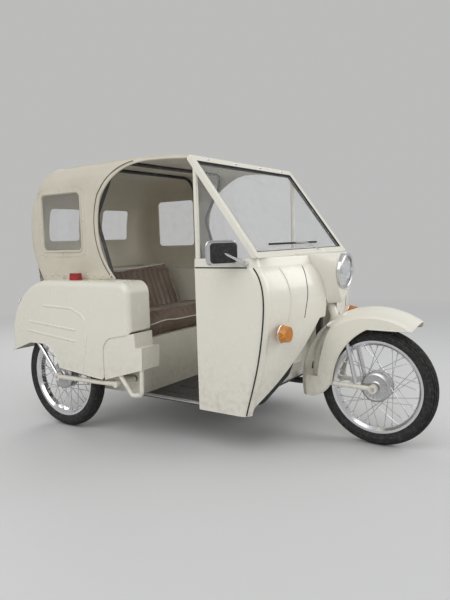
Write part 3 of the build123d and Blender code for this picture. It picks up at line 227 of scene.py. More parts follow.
def coated_cloth(name, colour):
    """Coated duck: a fine square weave under a matt skin, greyer along its folds."""
    surface = Surface(name, Specular_IOR_Level=0.25, Sheen_Weight=0.15)
    weave = surface.stripes(260.0, "X") + surface.stripes(260.0, "Y") + surface.stripes(260.0, "Z")
    soil = surface.ramp(surface.noise(5.0, 8.0, (1, 1, 2.2)), 0.35, 0.8)
    fresh = surface.blend(soil * 0.55, tone(colour, 1.0), tone(colour, 0.78))
    surface.feed("Base Color", surface.blend(weave * 0.1, fresh, tone(colour, 0.7)))
    surface.feed("Roughness", surface.noise(60.0) * 0.15 + 0.7)
    surface.bump(weave, 0.28, 0.0006)


def grained_vinyl(name, colour):
    """Leathercloth: pebbled grain, polished where riders sit."""
    surface = Surface(name, Specular_IOR_Level=0.42)
    sockets = {"Vector": surface.place, "Scale": 260.0}
    grain = surface.add("ShaderNodeTexVoronoi", {"feature": "SMOOTH_F1"}, sockets, "Distance")
    worn = surface.ramp(surface.noise(7.0, 4.0), 0.4, 0.75)
    surface.feed("Base Color", surface.blend(worn, tone(colour, 0.9), tone(colour, 1.35)))
    surface.feed("Roughness", worn * -0.16 + 0.5)
    surface.bump(grain, 0.3, 0.0007)


def clear_pane(name, colour, alpha, roughness, waves):
    """Thin clear sheet with dust in its lower edge and slow waves in its face."""
    surface = Surface(name, Specular_IOR_Level=0.6, Transmission_Weight=0.55, IOR=1.12)
    dust = surface.ramp(surface.noise(26.0, 7.0), 0.45, 0.9)
    surface.feed("Base Color", surface.blend(dust * 0.2, tone(colour, 1.0), (0.7, 0.68, 0.62, 1)))
    surface.feed("Roughness", dust * 0.18 + roughness)
    surface.feed("Alpha", dust * 0.1 + alpha)
    surface.bump(surface.noise(11.0, 1.0), waves, 0.004)


def tinted_lens(name, colour):
    """Moulded lens with narrow flutes."""
    surface = Surface(name, Specular_IOR_Level=0.6, Transmission_Weight=0.25, IOR=1.45, Coat_Weight=0.4)
    flutes = surface.stripes(70.0, "Y")
    surface.feed("Base Color", surface.blend(flutes, tone(colour, 0.8), tone(colour, 1.15)))
    surface.feed("Roughness", surface.noise(30.0) * 0.08 + 0.1)
    surface.bump(flutes, 0.5, 0.0012)


def studio_floor(name, colour, backdrop):
    """Plain pale floor with the faintest mottling, which fades into the backdrop far away."""
    surface = Surface(name, Specular_IOR_Level=0.2)
    surface.feed("Base Color", surface.blend(surface.noise(1.2), tone(colour, 0.98), tone(colour, 1.02)))
    surface.feed("Roughness", surface.noise(6.0) * 0.1 + 0.8)
    reach = surface.add("ShaderNodeVectorMath", {"operation": "LENGTH"}, {0: surface.place}, "Value")
    glow = surface.add("ShaderNodeEmission", {}, {"Color": (*backdrop, 1)})
    near = Value(surface, surface.shader.outputs[0])
    far = surface.ramp(reach, 1.6, 6.0) * surface.seen()
    shown = surface.add("ShaderNodeMixShader", {}, {0: far, 1: near, 2: glow})
    surface.tree.links.new(shown.socket, surface.tree.nodes["Material Output"].inputs["Surface"])


class MopedLooks(bpy.types.PropertyGroup):
    """Colours and fine sizes of the moped's surfaces and added pieces."""

    paint: bpy.props.FloatVectorProperty(
        name="Body paint",
        description="Colour of the panels",
        subtype="COLOR",
        size=3,
        default=(0.8, 0.77, 0.67),
    )
    hood: bpy.props.FloatVectorProperty(
        name="Hood cloth",
        description="Colour of the hood",
        subtype="COLOR",
        size=3,
        default=(0.68, 0.63, 0.52),
    )
    vinyl: bpy.props.FloatVectorProperty(
        name="Seat vinyl",
        description="Colour of the seat",
        subtype="COLOR",
        size=3,
        default=(0.13, 0.09, 0.065),
    )
    rubber: bpy.props.FloatVectorProperty(
        name="Rubber",
        description="Colour of tyres and grips",
        subtype="COLOR",
        size=3,
        default=(0.022, 0.022, 0.023),
    )
    tread_depth: bpy.props.FloatProperty(
        name="Tread depth",
        description="Depth of the tyre's grooves",
        unit="LENGTH",
        default=0.004,
        min=0.001,
        max=0.006,
    )
    spoke_radius: bpy.props.FloatProperty(
        name="Spoke radius",
        description="Half the wire's thickness",
        unit="LENGTH",
        default=0.0017,
        min=0.001,
        max=0.003,
    )
    pleats: bpy.props.IntProperty(
        name="Pleats",
        description="Pleats across the bench",
        default=15,
        min=4,
        max=40,
    )
    pleat_depth: bpy.props.FloatProperty(
        name="Pleat depth",
        description="Depth of a pleat's seam",
        unit="LENGTH",
        default=0.009,
        min=0.0,
        max=0.03,
    )
    hood_sag: bpy.props.FloatProperty(
        name="Hood sag",
        description="How far the cloth dips between bows",
        unit="LENGTH",
        default=0.009,
        min=0,
        max=0.03,
    )


class MopedStage(bpy.types.PropertyGroup):
    """Floor, light and camera."""

    floor: bpy.props.FloatVectorProperty(
        name="Floor",
        description="Colour of the floor",
        subtype="COLOR",
        size=3,
        default=(0.62, 0.62, 0.61),
    )
    backdrop: bpy.props.FloatVectorProperty(
        name="Backdrop",
        description="Colour behind the moped",
        subtype="COLOR",
        size=3,
        default=(0.5, 0.5, 0.497),
    )
    key: bpy.props.FloatProperty(
        name="Key light",
        description="Power of the main light",
        default=115.0,
        min=0.0,
    )
    fill: bpy.props.FloatProperty(
        name="Fill light",
        description="Power of the side light",
        default=70.0,
        min=0.0,
    )
    sky: bpy.props.FloatProperty(
        name="Sky",
        description="Strength of the even light",
        default=0.5,
        min=0.0,
    )
    camera: bpy.props.FloatVectorProperty(
        name="Camera",
        description="Place of the camera",
        unit="LENGTH",
        size=3,
        default=(1.6539, -2.4695, 0.9628),
    )
    yaw: bpy.props.FloatProperty(
        name="Yaw",
        description="Camera turn",
        unit="ROTATION",
        default=radians(34.5),
    )
    pitch: bpy.props.FloatProperty(
        name="Pitch",
        description="Camera tilt",
        unit="ROTATION",
        default=radians(-6.2),
    )
    roll: bpy.props.FloatProperty(
        name="Roll",
        description="Camera roll",
        unit="ROTATION",
        default=radians(-1.7),
    )
    lens: bpy.props.FloatProperty(
        name="Lens",
        description="Focal length on a 36 mm height",
        unit="CAMERA",
        default=33.9,
    )


def piece(name, form, body, finish, sharp=35):
    """Turn a bmesh into an object that rides on a body and takes one finish."""
    mesh = bpy.data.meshes.new(name)
    form.to_mesh(mesh)
    form.free()
    mesh.shade_smooth()
    mesh.set_sharp_from_angle(angle=radians(sharp))
    mesh.materials.append(GLOSS[finish])
    obj = bpy.data.objects.new(name, mesh)
    bpy.context.scene.collection.objects.link(obj)
    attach(obj, body)
    return obj


def join(form, other):
    """Add one bmesh to another."""
    mesh = bpy.data.meshes.new("part")
    other.to_mesh(mesh)
    other.free()
    form.from_mesh(mesh)
    bpy.data.meshes.remove(mesh)


def spun(profile, centre, steps):
    """A ring about an axle across the vehicle; the profile is pairs of side offset and radius."""
    form = bmesh.new()
    points = [form.verts.new((0, y, r)) for y, r in profile]
    edges = [form.edges.new(pair) for pair in zip(points, points[1:])]
    bmesh.ops.spin(
        form, geom=points + edges, cent=(0, 0, 0), axis=(0, 1, 0), angle=2 * pi, steps=steps, use_merge=True
    )
    bmesh.ops.remove_doubles(form, verts=form.verts[:], dist=1e-6)
    bmesh.ops.recalc_face_normals(form, faces=form.faces[:])
    bmesh.ops.translate(form, verts=form.verts[:], vec=centre)
    return form


def bar(form, start, end, radius, tip=None, segments=12):
    """A round bar between two points, added to a bmesh; tip is the radius at its end."""
    start, end = Vector(start), Vector(end)
    run = end - start
    place = Matrix.Translation((start + end) / 2) @ run.to_track_quat("Z", "Y").to_matrix().to_4x4()
    bmesh.ops.create_cone(
        form,
        cap_ends=True,
        segments=segments,
        radius1=radius,
        radius2=radius if tip is None else tip,
        depth=run.length,
        matrix=place,
    )


def pebble(form, centre, size, turn=None):
    """A rounded button of the given three sizes, added to a bmesh."""
    place = Matrix.Translation(centre) @ (turn or Matrix.Identity(4)) @ Matrix.Diagonal((*size, 1))
    bmesh.ops.create_uvsphere(form, u_segments=14, v_segments=8, radius=0.5, matrix=place)


def slab(form, low, high, soften=0.002):
    """A box with softened edges between two corners, added to a bmesh."""
    low, high = Vector(low), Vector(high)
    place = Matrix.Translation((low + high) / 2) @ Matrix.Diagonal((*(high - low), 1))
    box = bmesh.new()
    bmesh.ops.create_cube(box, size=1.0, matrix=place)
    bmesh.ops.bevel(
        box, geom=box.edges[:], offset=soften, affect="EDGES", segments=2, profile=0.5, material=-1
    )
    join(form, box)


def tube(form, points, radius, closed=False):
    """A round cord through points, added to a bmesh."""
    curve = bpy.data.curves.new("path", "CURVE")
    curve.dimensions = "3D"
    curve.bevel_depth = radius
    curve.bevel_resolution = 2
    curve.use_fill_caps = not closed
    spline = curve.splines.new("POLY")
    spline.points.add(len(points) - 1)
    for point, place in zip(spline.points, points):
        point.co = (*place, 1)
    spline.use_cyclic_u = closed
    holder = bpy.data.objects.new("path", curve)
    mesh = holder.to_mesh()
    form.from_mesh(mesh)
    holder.to_mesh_clear()
    bpy.data.objects.remove(holder)
    bpy.data.curves.remove(curve)


def arc(first, middle, last, count):
    """Points along the circle through three points in the vehicle's side view."""
    (ax, az), (bx, bz), (cx, cz) = first, middle, last
    d = 2 * (ax * (bz - cz) + bx * (cz - az) + cx * (az - bz))
    ux = ((ax**2 + az**2) * (bz - cz) + (bx**2 + bz**2) * (cz - az) + (cx**2 + cz**2) * (az - bz)) / d
    uz = ((ax**2 + az**2) * (cx - bx) + (bx**2 + bz**2) * (ax - cx) + (cx**2 + cz**2) * (bx - ax)) / d
    radius = hypot(ax - ux, az - uz)
    start, via, end = (atan2(z - uz, x - ux) for x, z in (first, middle, last))
    turn = (end - start) % (2 * pi)
    if (via - start) % (2 * pi) > turn:
        turn -= 2 * pi
    steps = [start + turn * index / (count - 1) for index in range(count)]
    return [(ux + radius * cos(step), uz + radius * sin(step)) for step in steps]


def hoop(form, centre, axis, radius, thickness):
    """A round ring about an axis, added to a bmesh."""
    turn = Vector(axis).to_track_quat("Z", "Y").to_matrix()
    points = []
    for index in range(48):
        angle = 2 * pi * index / 48
        points.append(Vector(centre) + turn @ Vector((radius * cos(angle), radius * sin(angle), 0)))
    tube(form, points, thickness, closed=True)


def smoothed(points, count=30):
    """Points spread evenly along a curve through the given ones."""
    ends = [points[0], *points, points[-1]]
    spots = []
    for index in range(count):
        place = (len(points) - 1) * index / (count - 1)
        start = min(int(place), len(points) - 2)
        t = place - start
        a, b, c, d = ends[start : start + 4]
        spot = []
        for p, q, r, w in zip(a, b, c, d):
            square, cube = 2 * p - 5 * q + 4 * r - w, 3 * q - p - 3 * r + w
            spot.append(0.5 * (2 * q + (r - p) * t + square * t**2 + cube * t**3))
        spots.append(tuple(spot))
    return spots


def eased(points, rounds=10):
    """The same path with its small kinks drawn out, its ends held."""
    for _ in range(rounds):
        inner = [(a + 2 * b + c) / 4 for a, b, c in zip(points, points[1:], points[2:])]
        points = [points[0], *inner, points[-1]]
    return points


def rounded_rectangle(width, height, radius, per_corner=6):
    """Corner points of a rounded rectangle about the origin, anticlockwise."""
    points = []
    for quarter, (sx, sz) in enumerate(((1, 1), (-1, 1), (-1, -1), (1, -1))):
        for step in range(per_corner + 1):
            angle = (quarter + step / per_corner) * pi / 2
            x = sx * (width / 2 - radius) + radius * cos(angle)
            points.append((x, sz * (height / 2 - radius) + radius * sin(angle)))
    return points


def skin_of(*nodes):
    """A search tree over CAD nodes, for laying trim on their faces."""
    form = bmesh.new()
    for node in nodes:
        form.from_mesh(frame["nodes"][node].data)
    tree = BVHTree.FromBMesh(form)
    form.free()
    return tree


def laid(tree, origin, direction, lift):
    """The point where a ray meets a face, raised a little toward the ray's start."""
    direction = Vector(direction).normalized()
    hit = tree.ray_cast(Vector(origin), direction)[0]
    return None if hit is None else hit - direction * lift


def wheel_centre(wheel):
    """The middle of a wheel."""
    low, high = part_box(f"{wheel}_tyre")
    return (low + high) / 2


REAR = wheel_centre("rear_right").x
AXLE_Z = wheel_centre("rear_right").z


class MOPED_OT_finishes(bpy.types.Operator):
    """Make every finish and give each measured piece its own"""

    bl_idname = "moped.finishes"
    bl_label = "Finishes"

    def execute(self, context):
        looks = context.scene.moped_looks
        gloss_paint("body_paint", looks.paint)
        satin_paint("frame_paint", (0.03, 0.03, 0.032))
        coated_cloth("hood_cloth", looks.hood)
        clear_pane("clear_film", (0.82, 0.86, 0.86), 0.12, 0.03, 0.12)
        grained_vinyl("seat_vinyl", looks.vinyl)
        bright_metal("bright_metal", (0.78, 0.78, 0.8), 0.12, 0.03)
        bright_metal("alloy", (0.62, 0.62, 0.63), 0.34, 0.18)
        bright_metal("spoke_steel", (0.66, 0.66, 0.68), 0.24, 0.06)
        bright_metal("engine_alloy", (0.45, 0.45, 0.45), 0.46, 0.4)
        bright_metal("mirror_face", (0.85, 0.87, 0.88), 0.02, 0.0)
        black_rubber("tyre_rubber", looks.rubber, 0.35)
        black_rubber("grip_rubber", looks.rubber, 0.2)
        black_rubber("floor_cover", (0.05, 0.05, 0.05), 0.6)
        clear_pane("lamp_glass", (0.9, 0.92, 0.92), 0.4, 0.06, 0.6)
        tinted_lens("amber_lens", (0.75, 0.27, 0.02))
        tinted_lens("red_lens", (0.42, 0.012, 0.012))
        for part in frame["record"]["subparts"]:
            node = frame["nodes"][part["node"]]
            node.data.materials.clear()
            node.data.materials.append(GLOSS[part["material_slot"]])
        return {"FINISHED"}


TYRE_WALL = ((0.0227, 0.2056), (0.0227, 0.2138), (0.0262, 0.2182), (0.0312, 0.2275), (0.034, 0.2345))
TYRE_RINGS = ((0.0344, 0.2362), (0.0352, 0.2369), (0.0352, 0.2384), (0.0347, 0.2392))
TREAD_STATIONS = (64, 50, 46, 33, 29, 17, 13)
TREAD_BLOCKS = ((0, 12), (18, 28), (34, 45), (51, 64))
TYRE_STEPS = 132
SHOULDER = 0.985


class MOPED_OT_tyres(bpy.types.Operator):
    """Tyres with blocked tread and ringed walls"""

    bl_idname = "moped.tyres"
    bl_label = "Tyres"

    def execute(self, context):
        depth = context.scene.moped_looks.tread_depth
        for wheel, body in WHEELS:
            low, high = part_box(f"{wheel}_tyre")
            radius = (high.z - low.z) / 2
            half = (high.y - low.y) / 2
            girth = radius - half
            shoulder = [
                (half * sin(radians(a)) * SHOULDER, girth + half * cos(radians(a)) * SHOULDER)
                for a in (80, 72)
            ]
            crown = [(half * sin(radians(a)), girth + half * cos(radians(a)) - depth) for a in TREAD_STATIONS]
            side = [*TYRE_WALL, *TYRE_RINGS, *shoulder, *crown]
            profile = side + [(-y, r) for y, r in reversed(side)]
            centre = wheel_centre(wheel)
            form = spun(profile + profile[:1], centre, TYRE_STEPS)
            blocks = []
            for face in form.faces:
                middle = face.calc_center_median() - centre
                reach = hypot(middle.x, middle.z)
                if reach < girth + half * 0.3:
                    continue
                lean = abs(atan2(middle.y, reach - girth + depth))
                if any(radians(inner) <= lean < radians(outer) for inner, outer in TREAD_BLOCKS):
                    blocks.append(face)
            bmesh.ops.inset_individual(form, faces=blocks, thickness=0.0009, depth=depth * 0.98)
            obj = piece(f"{wheel}_tread", form, body, "tyre_rubber", 30)
            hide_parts(f"{wheel}_tyre")
        return {"FINISHED"}


SPOKES = 36
SPOKE_LEAD = radians(58)
SPOKE_FOOT = 0.064
SPOKE_TIP = 0.1915
HUB_RIBS = 18


class MOPED_OT_laced_hubs(bpy.types.Operator):
    """Finned hubs, wire spokes and nipples"""

    bl_idname = "moped.laced_hubs"
    bl_label = "Laced hubs"

    def execute(self, context):
        wire = context.scene.moped_looks.spoke_radius
        for wheel, body in WHEELS:
            centre = wheel_centre(wheel)
            low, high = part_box(f"{wheel}_hub")
            half = (high.y - low.y) / 2
            side = [(half, 0.0083), (half, 0.024), (half - 0.004, 0.03), (half - 0.005, 0.052)]
            side += [(half - 0.003, 0.058), (half - 0.006, 0.0645)]
            side += [(half - 0.012, 0.0695), (half - 0.017, 0.0695)]
            fins = []
            for index in range(4):
                y = half - 0.018 - index * 0.0105
                fins += [(y, 0.063), (y - 0.004, 0.063), (y - 0.0045, 0.0685), (y - 0.0085, 0.0685)]
            middle = [point for point in fins if point[0] > 0]
            profile = side + middle + [(-y, r) for y, r in reversed(side + middle)]
            form = spun(profile + [profile[0]], centre, 72)
            ribs = bmesh.new()
            for index in range(HUB_RIBS):
                angle = 2 * pi * index / HUB_RIBS
                for flank in (-1, 1):
                    y = centre.y + flank * (half - 0.0045)
                    inner = centre + Vector((0.031 * cos(angle), 0, 0.031 * sin(angle)))
                    outer = centre + Vector((0.055 * cos(angle), 0, 0.055 * sin(angle)))
                    bar(ribs, (inner.x, y, inner.z), (outer.x, y, outer.z), 0.0022, 0.0026, 6)
            join(form, ribs)
            obj = piece(f"{wheel}_drum", form, body, "alloy", 30)
            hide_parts(f"{wheel}_hub")
            wires = bmesh.new()
            for index in range(SPOKES):
                flank = 1 if index % 2 else -1
                lead = SPOKE_LEAD * (1 if index % 4 < 2 else -1)
                angle = 2 * pi * index / SPOKES
                start = angle + lead
                hub = centre + Vector((SPOKE_FOOT * cos(start), flank * 0.026, SPOKE_FOOT * sin(start)))
                tip = centre + Vector((SPOKE_TIP * cos(angle), flank * 0.0065, SPOKE_TIP * sin(angle)))
                neck = tip + (hub - tip).normalized() * 0.016
                bar(wires, hub, tip, wire, segments=7)
                bar(wires, neck, tip, 0.0028, 0.0036, 8)
                pebble(wires, hub, (0.0062, 0.0062, 0.0062))
            piece(f"{wheel}_spokes", wires, body, "spoke_steel", 40)
        return {"FINISHED"}


HOOD_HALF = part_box("hood_skin")[1].y
HOOD_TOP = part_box("hood_skin")[1].z
HOOD_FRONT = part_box("hood_skin")[1].x
HOOD_EDGE = 0.085
BOW_PLACES = (REAR - 0.16, REAR + 0.135, REAR + 0.372, REAR + 0.803)
ENTRY_LOW = ((0.345, 0.778), (0.24, 1.01), (0.27, 1.19))
ENTRY_HIGH = ((0.27, 1.19), (0.4, 1.3), (0.6, 1.338))
SIDE_WINDOW = (REAR - 0.028, 1.072, 0.292, 0.29)
REAR_WINDOW = (0.205, 1.07, 0.225, 0.186)


def hood_outward(place):
    """The direction away from the room under the hood."""
    core = Vector((
        min(max(place.x, REAR - 0.1), REAR + 0.8),
        min(max(place.y, -HOOD_HALF + 0.12), HOOD_HALF - 0.12),
        min(place.z, HOOD_TOP - 0.12),
    ))
    away = place - core
    return away.normalized() if away.length > 1e-5 else Vector((0, 0, 1))


def hood_slack(place, sag):
    """How far the cloth stands in or out at a place: dips between bows, faint pulls down the sides."""
    out = hood_outward(place)
    dip = 0.0
    for rear, front in zip(BOW_PLACES, BOW_PLACES[1:]):
        if rear < place.x < front:
            share = (place.x - rear) / (front - rear)
            dip = sin(pi * share) ** 2 * min(1.0, (front - rear) / 0.3)
    flat = max(0.0, 1 - (abs(place.y) / HOOD_HALF) ** 4)
    pulls = noise.noise(Vector((place.x * 9, place.y * 9, place.z * 2.2)))
    crinkle = noise.noise(Vector((place.x * 31, place.y * 23, place.z * 11)))
    hem = min(1.0, max(0.0, (place.z - 0.79) / 0.1))
    skirt = (pulls + 0.6) * 0.004 + crinkle * 0.0011
    return out * ((-sag * dip * flat * max(0.0, out.z)) + skirt * hem * (1 - 0.7 * max(0.0, out.z)))


def roof_y(x, z):
    """Side offset of the hood's rounded edge at a height."""
    drop = max(0.0, (x - (REAR + 0.56)) / 0.243)
    crown = HOOD_TOP - HOOD_EDGE - 0.028 * drop**2
    rise = min(max(0.0, z - crown), HOOD_EDGE)
    return HOOD_HALF - HOOD_EDGE + (HOOD_EDGE**2 - rise**2) ** 0.5


class MOPED_OT_hood(bpy.types.Operator):
    """Cloth hood with hems, window welts and seams"""

    bl_idname = "moped.hood"
    bl_label = "Hood"

    def execute(self, context):
        sag = context.scene.moped_looks.hood_sag
        form = bmesh.new()
        form.from_mesh(frame["nodes"]["hood_skin"].data)
        bmesh.ops.remove_doubles(form, verts=form.verts[:], dist=1e-5)
        for reach in (0.2, 0.1, 0.05, 0.03):
            long_edges = [edge for edge in form.edges if edge.calc_length() > reach]
            bmesh.ops.subdivide_edges(form, edges=long_edges, cuts=1, use_grid_fill=False)
            bmesh.ops.triangulate(form, faces=form.faces[:])
        for vert in form.verts:
            vert.co += hood_slack(vert.co, sag)
        cloth = piece("hood_cloth", form, "chassis", "hood_cloth", 30)
        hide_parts("hood_skin")

        skin = skin_of("hood_skin")
        behind = REAR - 0.6
        hems = bmesh.new()
        cord = bmesh.new()
        for name, side in SIDES:
            edge = arc(*ENTRY_LOW, 26) + arc(*ENTRY_HIGH, 20)[1:]
            edge += [(0.6 + 0.2 * step / 8, 1.338 - 0.01 * step / 8) for step in range(1, 9)]
            path = [Vector((REAR + x, side * (roof_y(REAR + x, z) - 0.002), z)) for x, z in edge]
            path = [place + hood_slack(place, sag) for place in path]
            tube(hems, path, 0.0052)
            inner = [place + Vector((-0.02, side * 0.0028, 0.008)) for place in path[:40]]
            tube(cord, inner, 0.0022)
            window_x, window_z, width, height = SIDE_WINDOW
            for grow, thick in ((0.008, 0.005), (0.034, 0.0016)):
                loop = rounded_rectangle(width + 2 * grow, height + 2 * grow, 0.022 + grow)
                welt = [Vector((window_x + x, side * HOOD_HALF, window_z + z)) for x, z in loop]
                tube(hems, [place + hood_slack(place, sag) for place in welt], thick, closed=True)
            window_y, window_z, width, height = REAR_WINDOW
            for grow, thick in ((0.008, 0.005), (0.03, 0.0016)):
                loop = rounded_rectangle(width + 2 * grow, height + 2 * grow, 0.022 + grow)
                places = [
                    laid(skin, (behind, side * window_y + y, window_z + z), (1, 0, 0), 0.001)
                    for y, z in loop
                ]
                tube(hems, [place + hood_slack(place, sag) for place in places], thick, closed=True)
            ridge = []
            for index in range(30):
                x = HOOD_FRONT - 0.004 - index * 0.029
                place = laid(skin, (x, side * 0.7, HOOD_TOP + 0.24), (0, -side * 0.7, -0.62), 0.001)
                if place is not None and place.z > HOOD_TOP - 0.08:
                    ridge.append(place + hood_slack(place, sag))
            tube(hems, ridge, 0.003)
        brow = []
        for index in range(33):
            y = (index / 16 - 1) * (HOOD_HALF - 0.03)
            place = laid(skin, (HOOD_FRONT - 0.006, y, HOOD_TOP + 0.1), (0, 0, -1), -0.001)
            if place is not None:
                brow.append(place)
        tube(hems, brow, 0.005)
        trim = piece("hood_hems", hems, "chassis", "hood_cloth", 50)
        piece("hood_cord", cord, "chassis", "seat_vinyl", 50)

        studs = bmesh.new()
        for name, side in SIDES:
            for index in range(11):
                x = REAR + 0.315 - index * 0.055
                turn = Matrix.Rotation(radians(90), 4, "X")
                place = Vector((x, side * (HOOD_HALF + 0.001), 0.797))
                pebble(studs, place + hood_slack(place, sag), (0.011, 0.011, 0.006), turn)
            window_x, window_z, width, height = SIDE_WINDOW
            for x, z in ((-1, -1), (-1, 0), (-1, 1), (0, 1), (1, 1), (1, 0), (1, -1), (0, -1)):
                reach_x, reach_z = x * (width / 2 + 0.021), z * (height / 2 + 0.021)
                place = Vector((window_x + reach_x, side * (HOOD_HALF + 0.001), window_z + reach_z))
                pebble(studs, place + hood_slack(place, sag), (0.009, 0.009, 0.005), turn)
        piece("hood_studs", studs, "chassis", "bright_metal", 60)
        return {"FINISHED"}


VOXEL = 0.0065
PRESSURE = 4.0
CLOTH_FRAMES = 20
BACKREST_LEAN = radians(21)


def stuffed(node, shrink, swell):
    """A copy of a padded solid blown up by a short cloth run, held close to its own shape."""
    form = bmesh.new()
    form.from_mesh(frame["nodes"][node].data)
    bmesh.ops.remove_doubles(form, verts=form.verts[:], dist=1e-5)
    low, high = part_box(node)
    middle = (low + high) / 2
    size = high - low
    scale = [(part - 2 * shrink) / part for part in size]
    bmesh.ops.translate(form, verts=form.verts[:], vec=-middle)
    bmesh.ops.scale(form, verts=form.verts[:], vec=scale)
    bmesh.ops.translate(form, verts=form.verts[:], vec=middle)
    mesh = bpy.data.meshes.new("stuffing")
    form.to_mesh(mesh)
    form.free()
    holder = bpy.data.objects.new("stuffing", mesh)
    bpy.context.scene.collection.objects.link(holder)
    remesh = holder.modifiers.new("remesh", "REMESH")
    remesh.mode = "VOXEL"
    remesh.voxel_size = VOXEL
    bake(holder)
    start = [vert.co.copy() for vert in holder.data.vertices]
    cloth = holder.modifiers.new("cloth", "CLOTH")
    cloth.settings.use_pressure = True
    cloth.settings.uniform_pressure_force = PRESSURE
    cloth.settings.effector_weights.gravity = 0.0
    cloth.settings.quality = 4
    cloth.point_cache.frame_start = 1
    cloth.point_cache.frame_end = CLOTH_FRAMES
    for step in range(1, CLOTH_FRAMES + 1):
        bpy.context.scene.frame_set(step)
    bake(holder)
    bpy.context.scene.frame_set(1)
    form = bmesh.new()
    form.from_mesh(holder.data)
    form.verts.ensure_lookup_table()
    for vert, origin in zip(form.verts, start):
        move = vert.co - origin
        if move.length > swell:
            vert.co = origin + move * (swell / move.length)
    mesh = holder.data
    bpy.data.objects.remove(holder)
    bpy.data.meshes.remove(mesh)
    return form


def bake(holder):
    """Put an object's modifiers into its mesh."""
    bpy.context.view_layer.update()
    graph = bpy.context.evaluated_depsgraph_get()
    mesh = bpy.data.meshes.new_from_object(holder.evaluated_get(graph))
    holder.modifiers.clear()
    old = holder.data
    holder.data = mesh
    bpy.data.meshes.remove(old)


FLAP_TOP = 0.845
FLAP_FOOT = 0.655
FLAP_HALF = 0.449


class MOPED_OT_hood_flap(bpy.types.Operator):
    """Cloth flap that closes the hood down to the tub at the back"""

    bl_idname = "moped.hood_flap"
    bl_label = "Hood flap"

    def execute(self, context):
        sag = context.scene.moped_looks.hood_sag
        skin = skin_of("hood_skin")
        tub = skin_of("rear_tub")
        form = bmesh.new()
        bmesh.ops.create_grid(form, x_segments=48, y_segments=18, size=1.0)
        behind = CAD_LOW.x - 0.5
        for vert in form.verts:
            y, rise = vert.co.x * FLAP_HALF, (vert.co.y + 1) / 2
            high = laid(skin, (behind, y, FLAP_TOP), (1, 0, 0), 0.0035)
            high += hood_slack(high, sag)
            low = laid(tub, (behind, y, FLAP_FOOT), (1, 0, 0), 0.003)
            ripple = noise.noise(Vector((y * 11, rise * 2, 4)))
            bow = 0.012 * sin(pi * rise) ** 2 + 0.003 * ripple * sin(pi * rise)
            vert.co = low.lerp(high, rise) - Vector((bow, 0, 0))
        bmesh.ops.recalc_face_normals(form, faces=form.faces[:])
        bmesh.ops.solidify(form, geom=form.faces[:], thickness=0.002)
        flap = piece("hood_flap", form, "chassis", "hood_cloth", 40)
        studs = bmesh.new()
        for index in range(9):
            place = laid(tub, (behind, (index - 4) * 0.1, FLAP_FOOT + 0.014), (1, 0, 0), 0.0065)
            pebble(studs, place, (0.006, 0.011, 0.011))
        piece("flap_studs", studs, "chassis", "bright_metal", 60)
        return {"FINISHED"}


class MOPED_OT_bench(bpy.types.Operator):
    """Pleated bench: cushion and backrest, with piping"""

    bl_idname = "moped.bench"
    bl_label = "Bench"

    def execute(self, context):
        looks = context.scene.moped_looks
        lean = BACKREST_LEAN
        faces = {"seat_cushion": Vector((0, 0, 1)), "seat_backrest": Vector((cos(lean), 0, sin(lean)))}
        for node, face in faces.items():
            low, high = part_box(node)
            form = stuffed(node, 0.012, 0.024)
            bmesh.ops.smooth_vert(
                form, verts=form.verts[:], factor=0.5, use_axis_x=True, use_axis_y=True, use_axis_z=True
            )
            form.normal_update()
            half = (high.y - low.y) / 2
            span = 2 * (half - 0.045) / looks.pleats
            for vert in form.verts:
                facing = max(0.0, vert.normal.dot(face)) ** 2
                inside = half - 0.045 - abs(vert.co.y)
                if inside > -span / 2:
                    phase = (vert.co.y % span) / span
                    seam = 1 - min(1.0, abs(sin(pi * phase)) * 1.9)
                    vert.co -= vert.normal * (seam**2 * looks.pleat_depth * facing)
                    vert.co += vert.normal * (abs(sin(pi * phase)) * 0.004 * facing)
                if node == "seat_cushion":
                    vert.co.z = max(vert.co.z, low.z + 0.0006)
                    vert.co.x = max(vert.co.x, low.x + 0.001)
            pad = piece(f"{node}_cover", form, "chassis", "seat_vinyl", 180)
            smooth = pad.modifiers.new("smooth", "SUBSURF")
            smooth.levels = smooth.render_levels = 1
            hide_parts(node)
            corners = [vert.co for vert in pad.data.vertices]
            tree = BVHTree.FromPolygons(corners, [polygon.vertices for polygon in pad.data.polygons])
            cords = bmesh.new()
            for side in (-1, 1):
                path = []
                for index in range(41):
                    share = index / 40
                    y = side * (half - 0.02)
                    if node == "seat_cushion":
                        guess = Vector((low.x + 0.02 + share * (high.x - low.x - 0.05), y, high.z + 0.01))
                    else:
                        guess = Vector((high.x - share * 0.37 * sin(lean), y, low.z + 0.11 + share * 0.25))
                    path.append(tree.find_nearest(guess)[0] + face * 0.001)
                tube(cords, eased(path), 0.004)
            path = []
            for index in range(81):
                y = (index / 40 - 1) * (half - 0.02)
                if node == "seat_cushion":
                    guess = Vector((high.x + 0.01, y, high.z - 0.03))
                else:
                    guess = Vector((high.x - 0.145, y, high.z + 0.01))
                path.append(tree.find_nearest(guess)[0] + Vector((0.001, 0, 0)))
            tube(cords, eased(path), 0.004)
            piece(f"{node}_piping", cords, "chassis", "hood_cloth", 60)
        return {"FINISHED"}


LAMP_TILT = radians(6)
LAMP_FACE = Vector((REAR + 1.35, 0, 0.798))


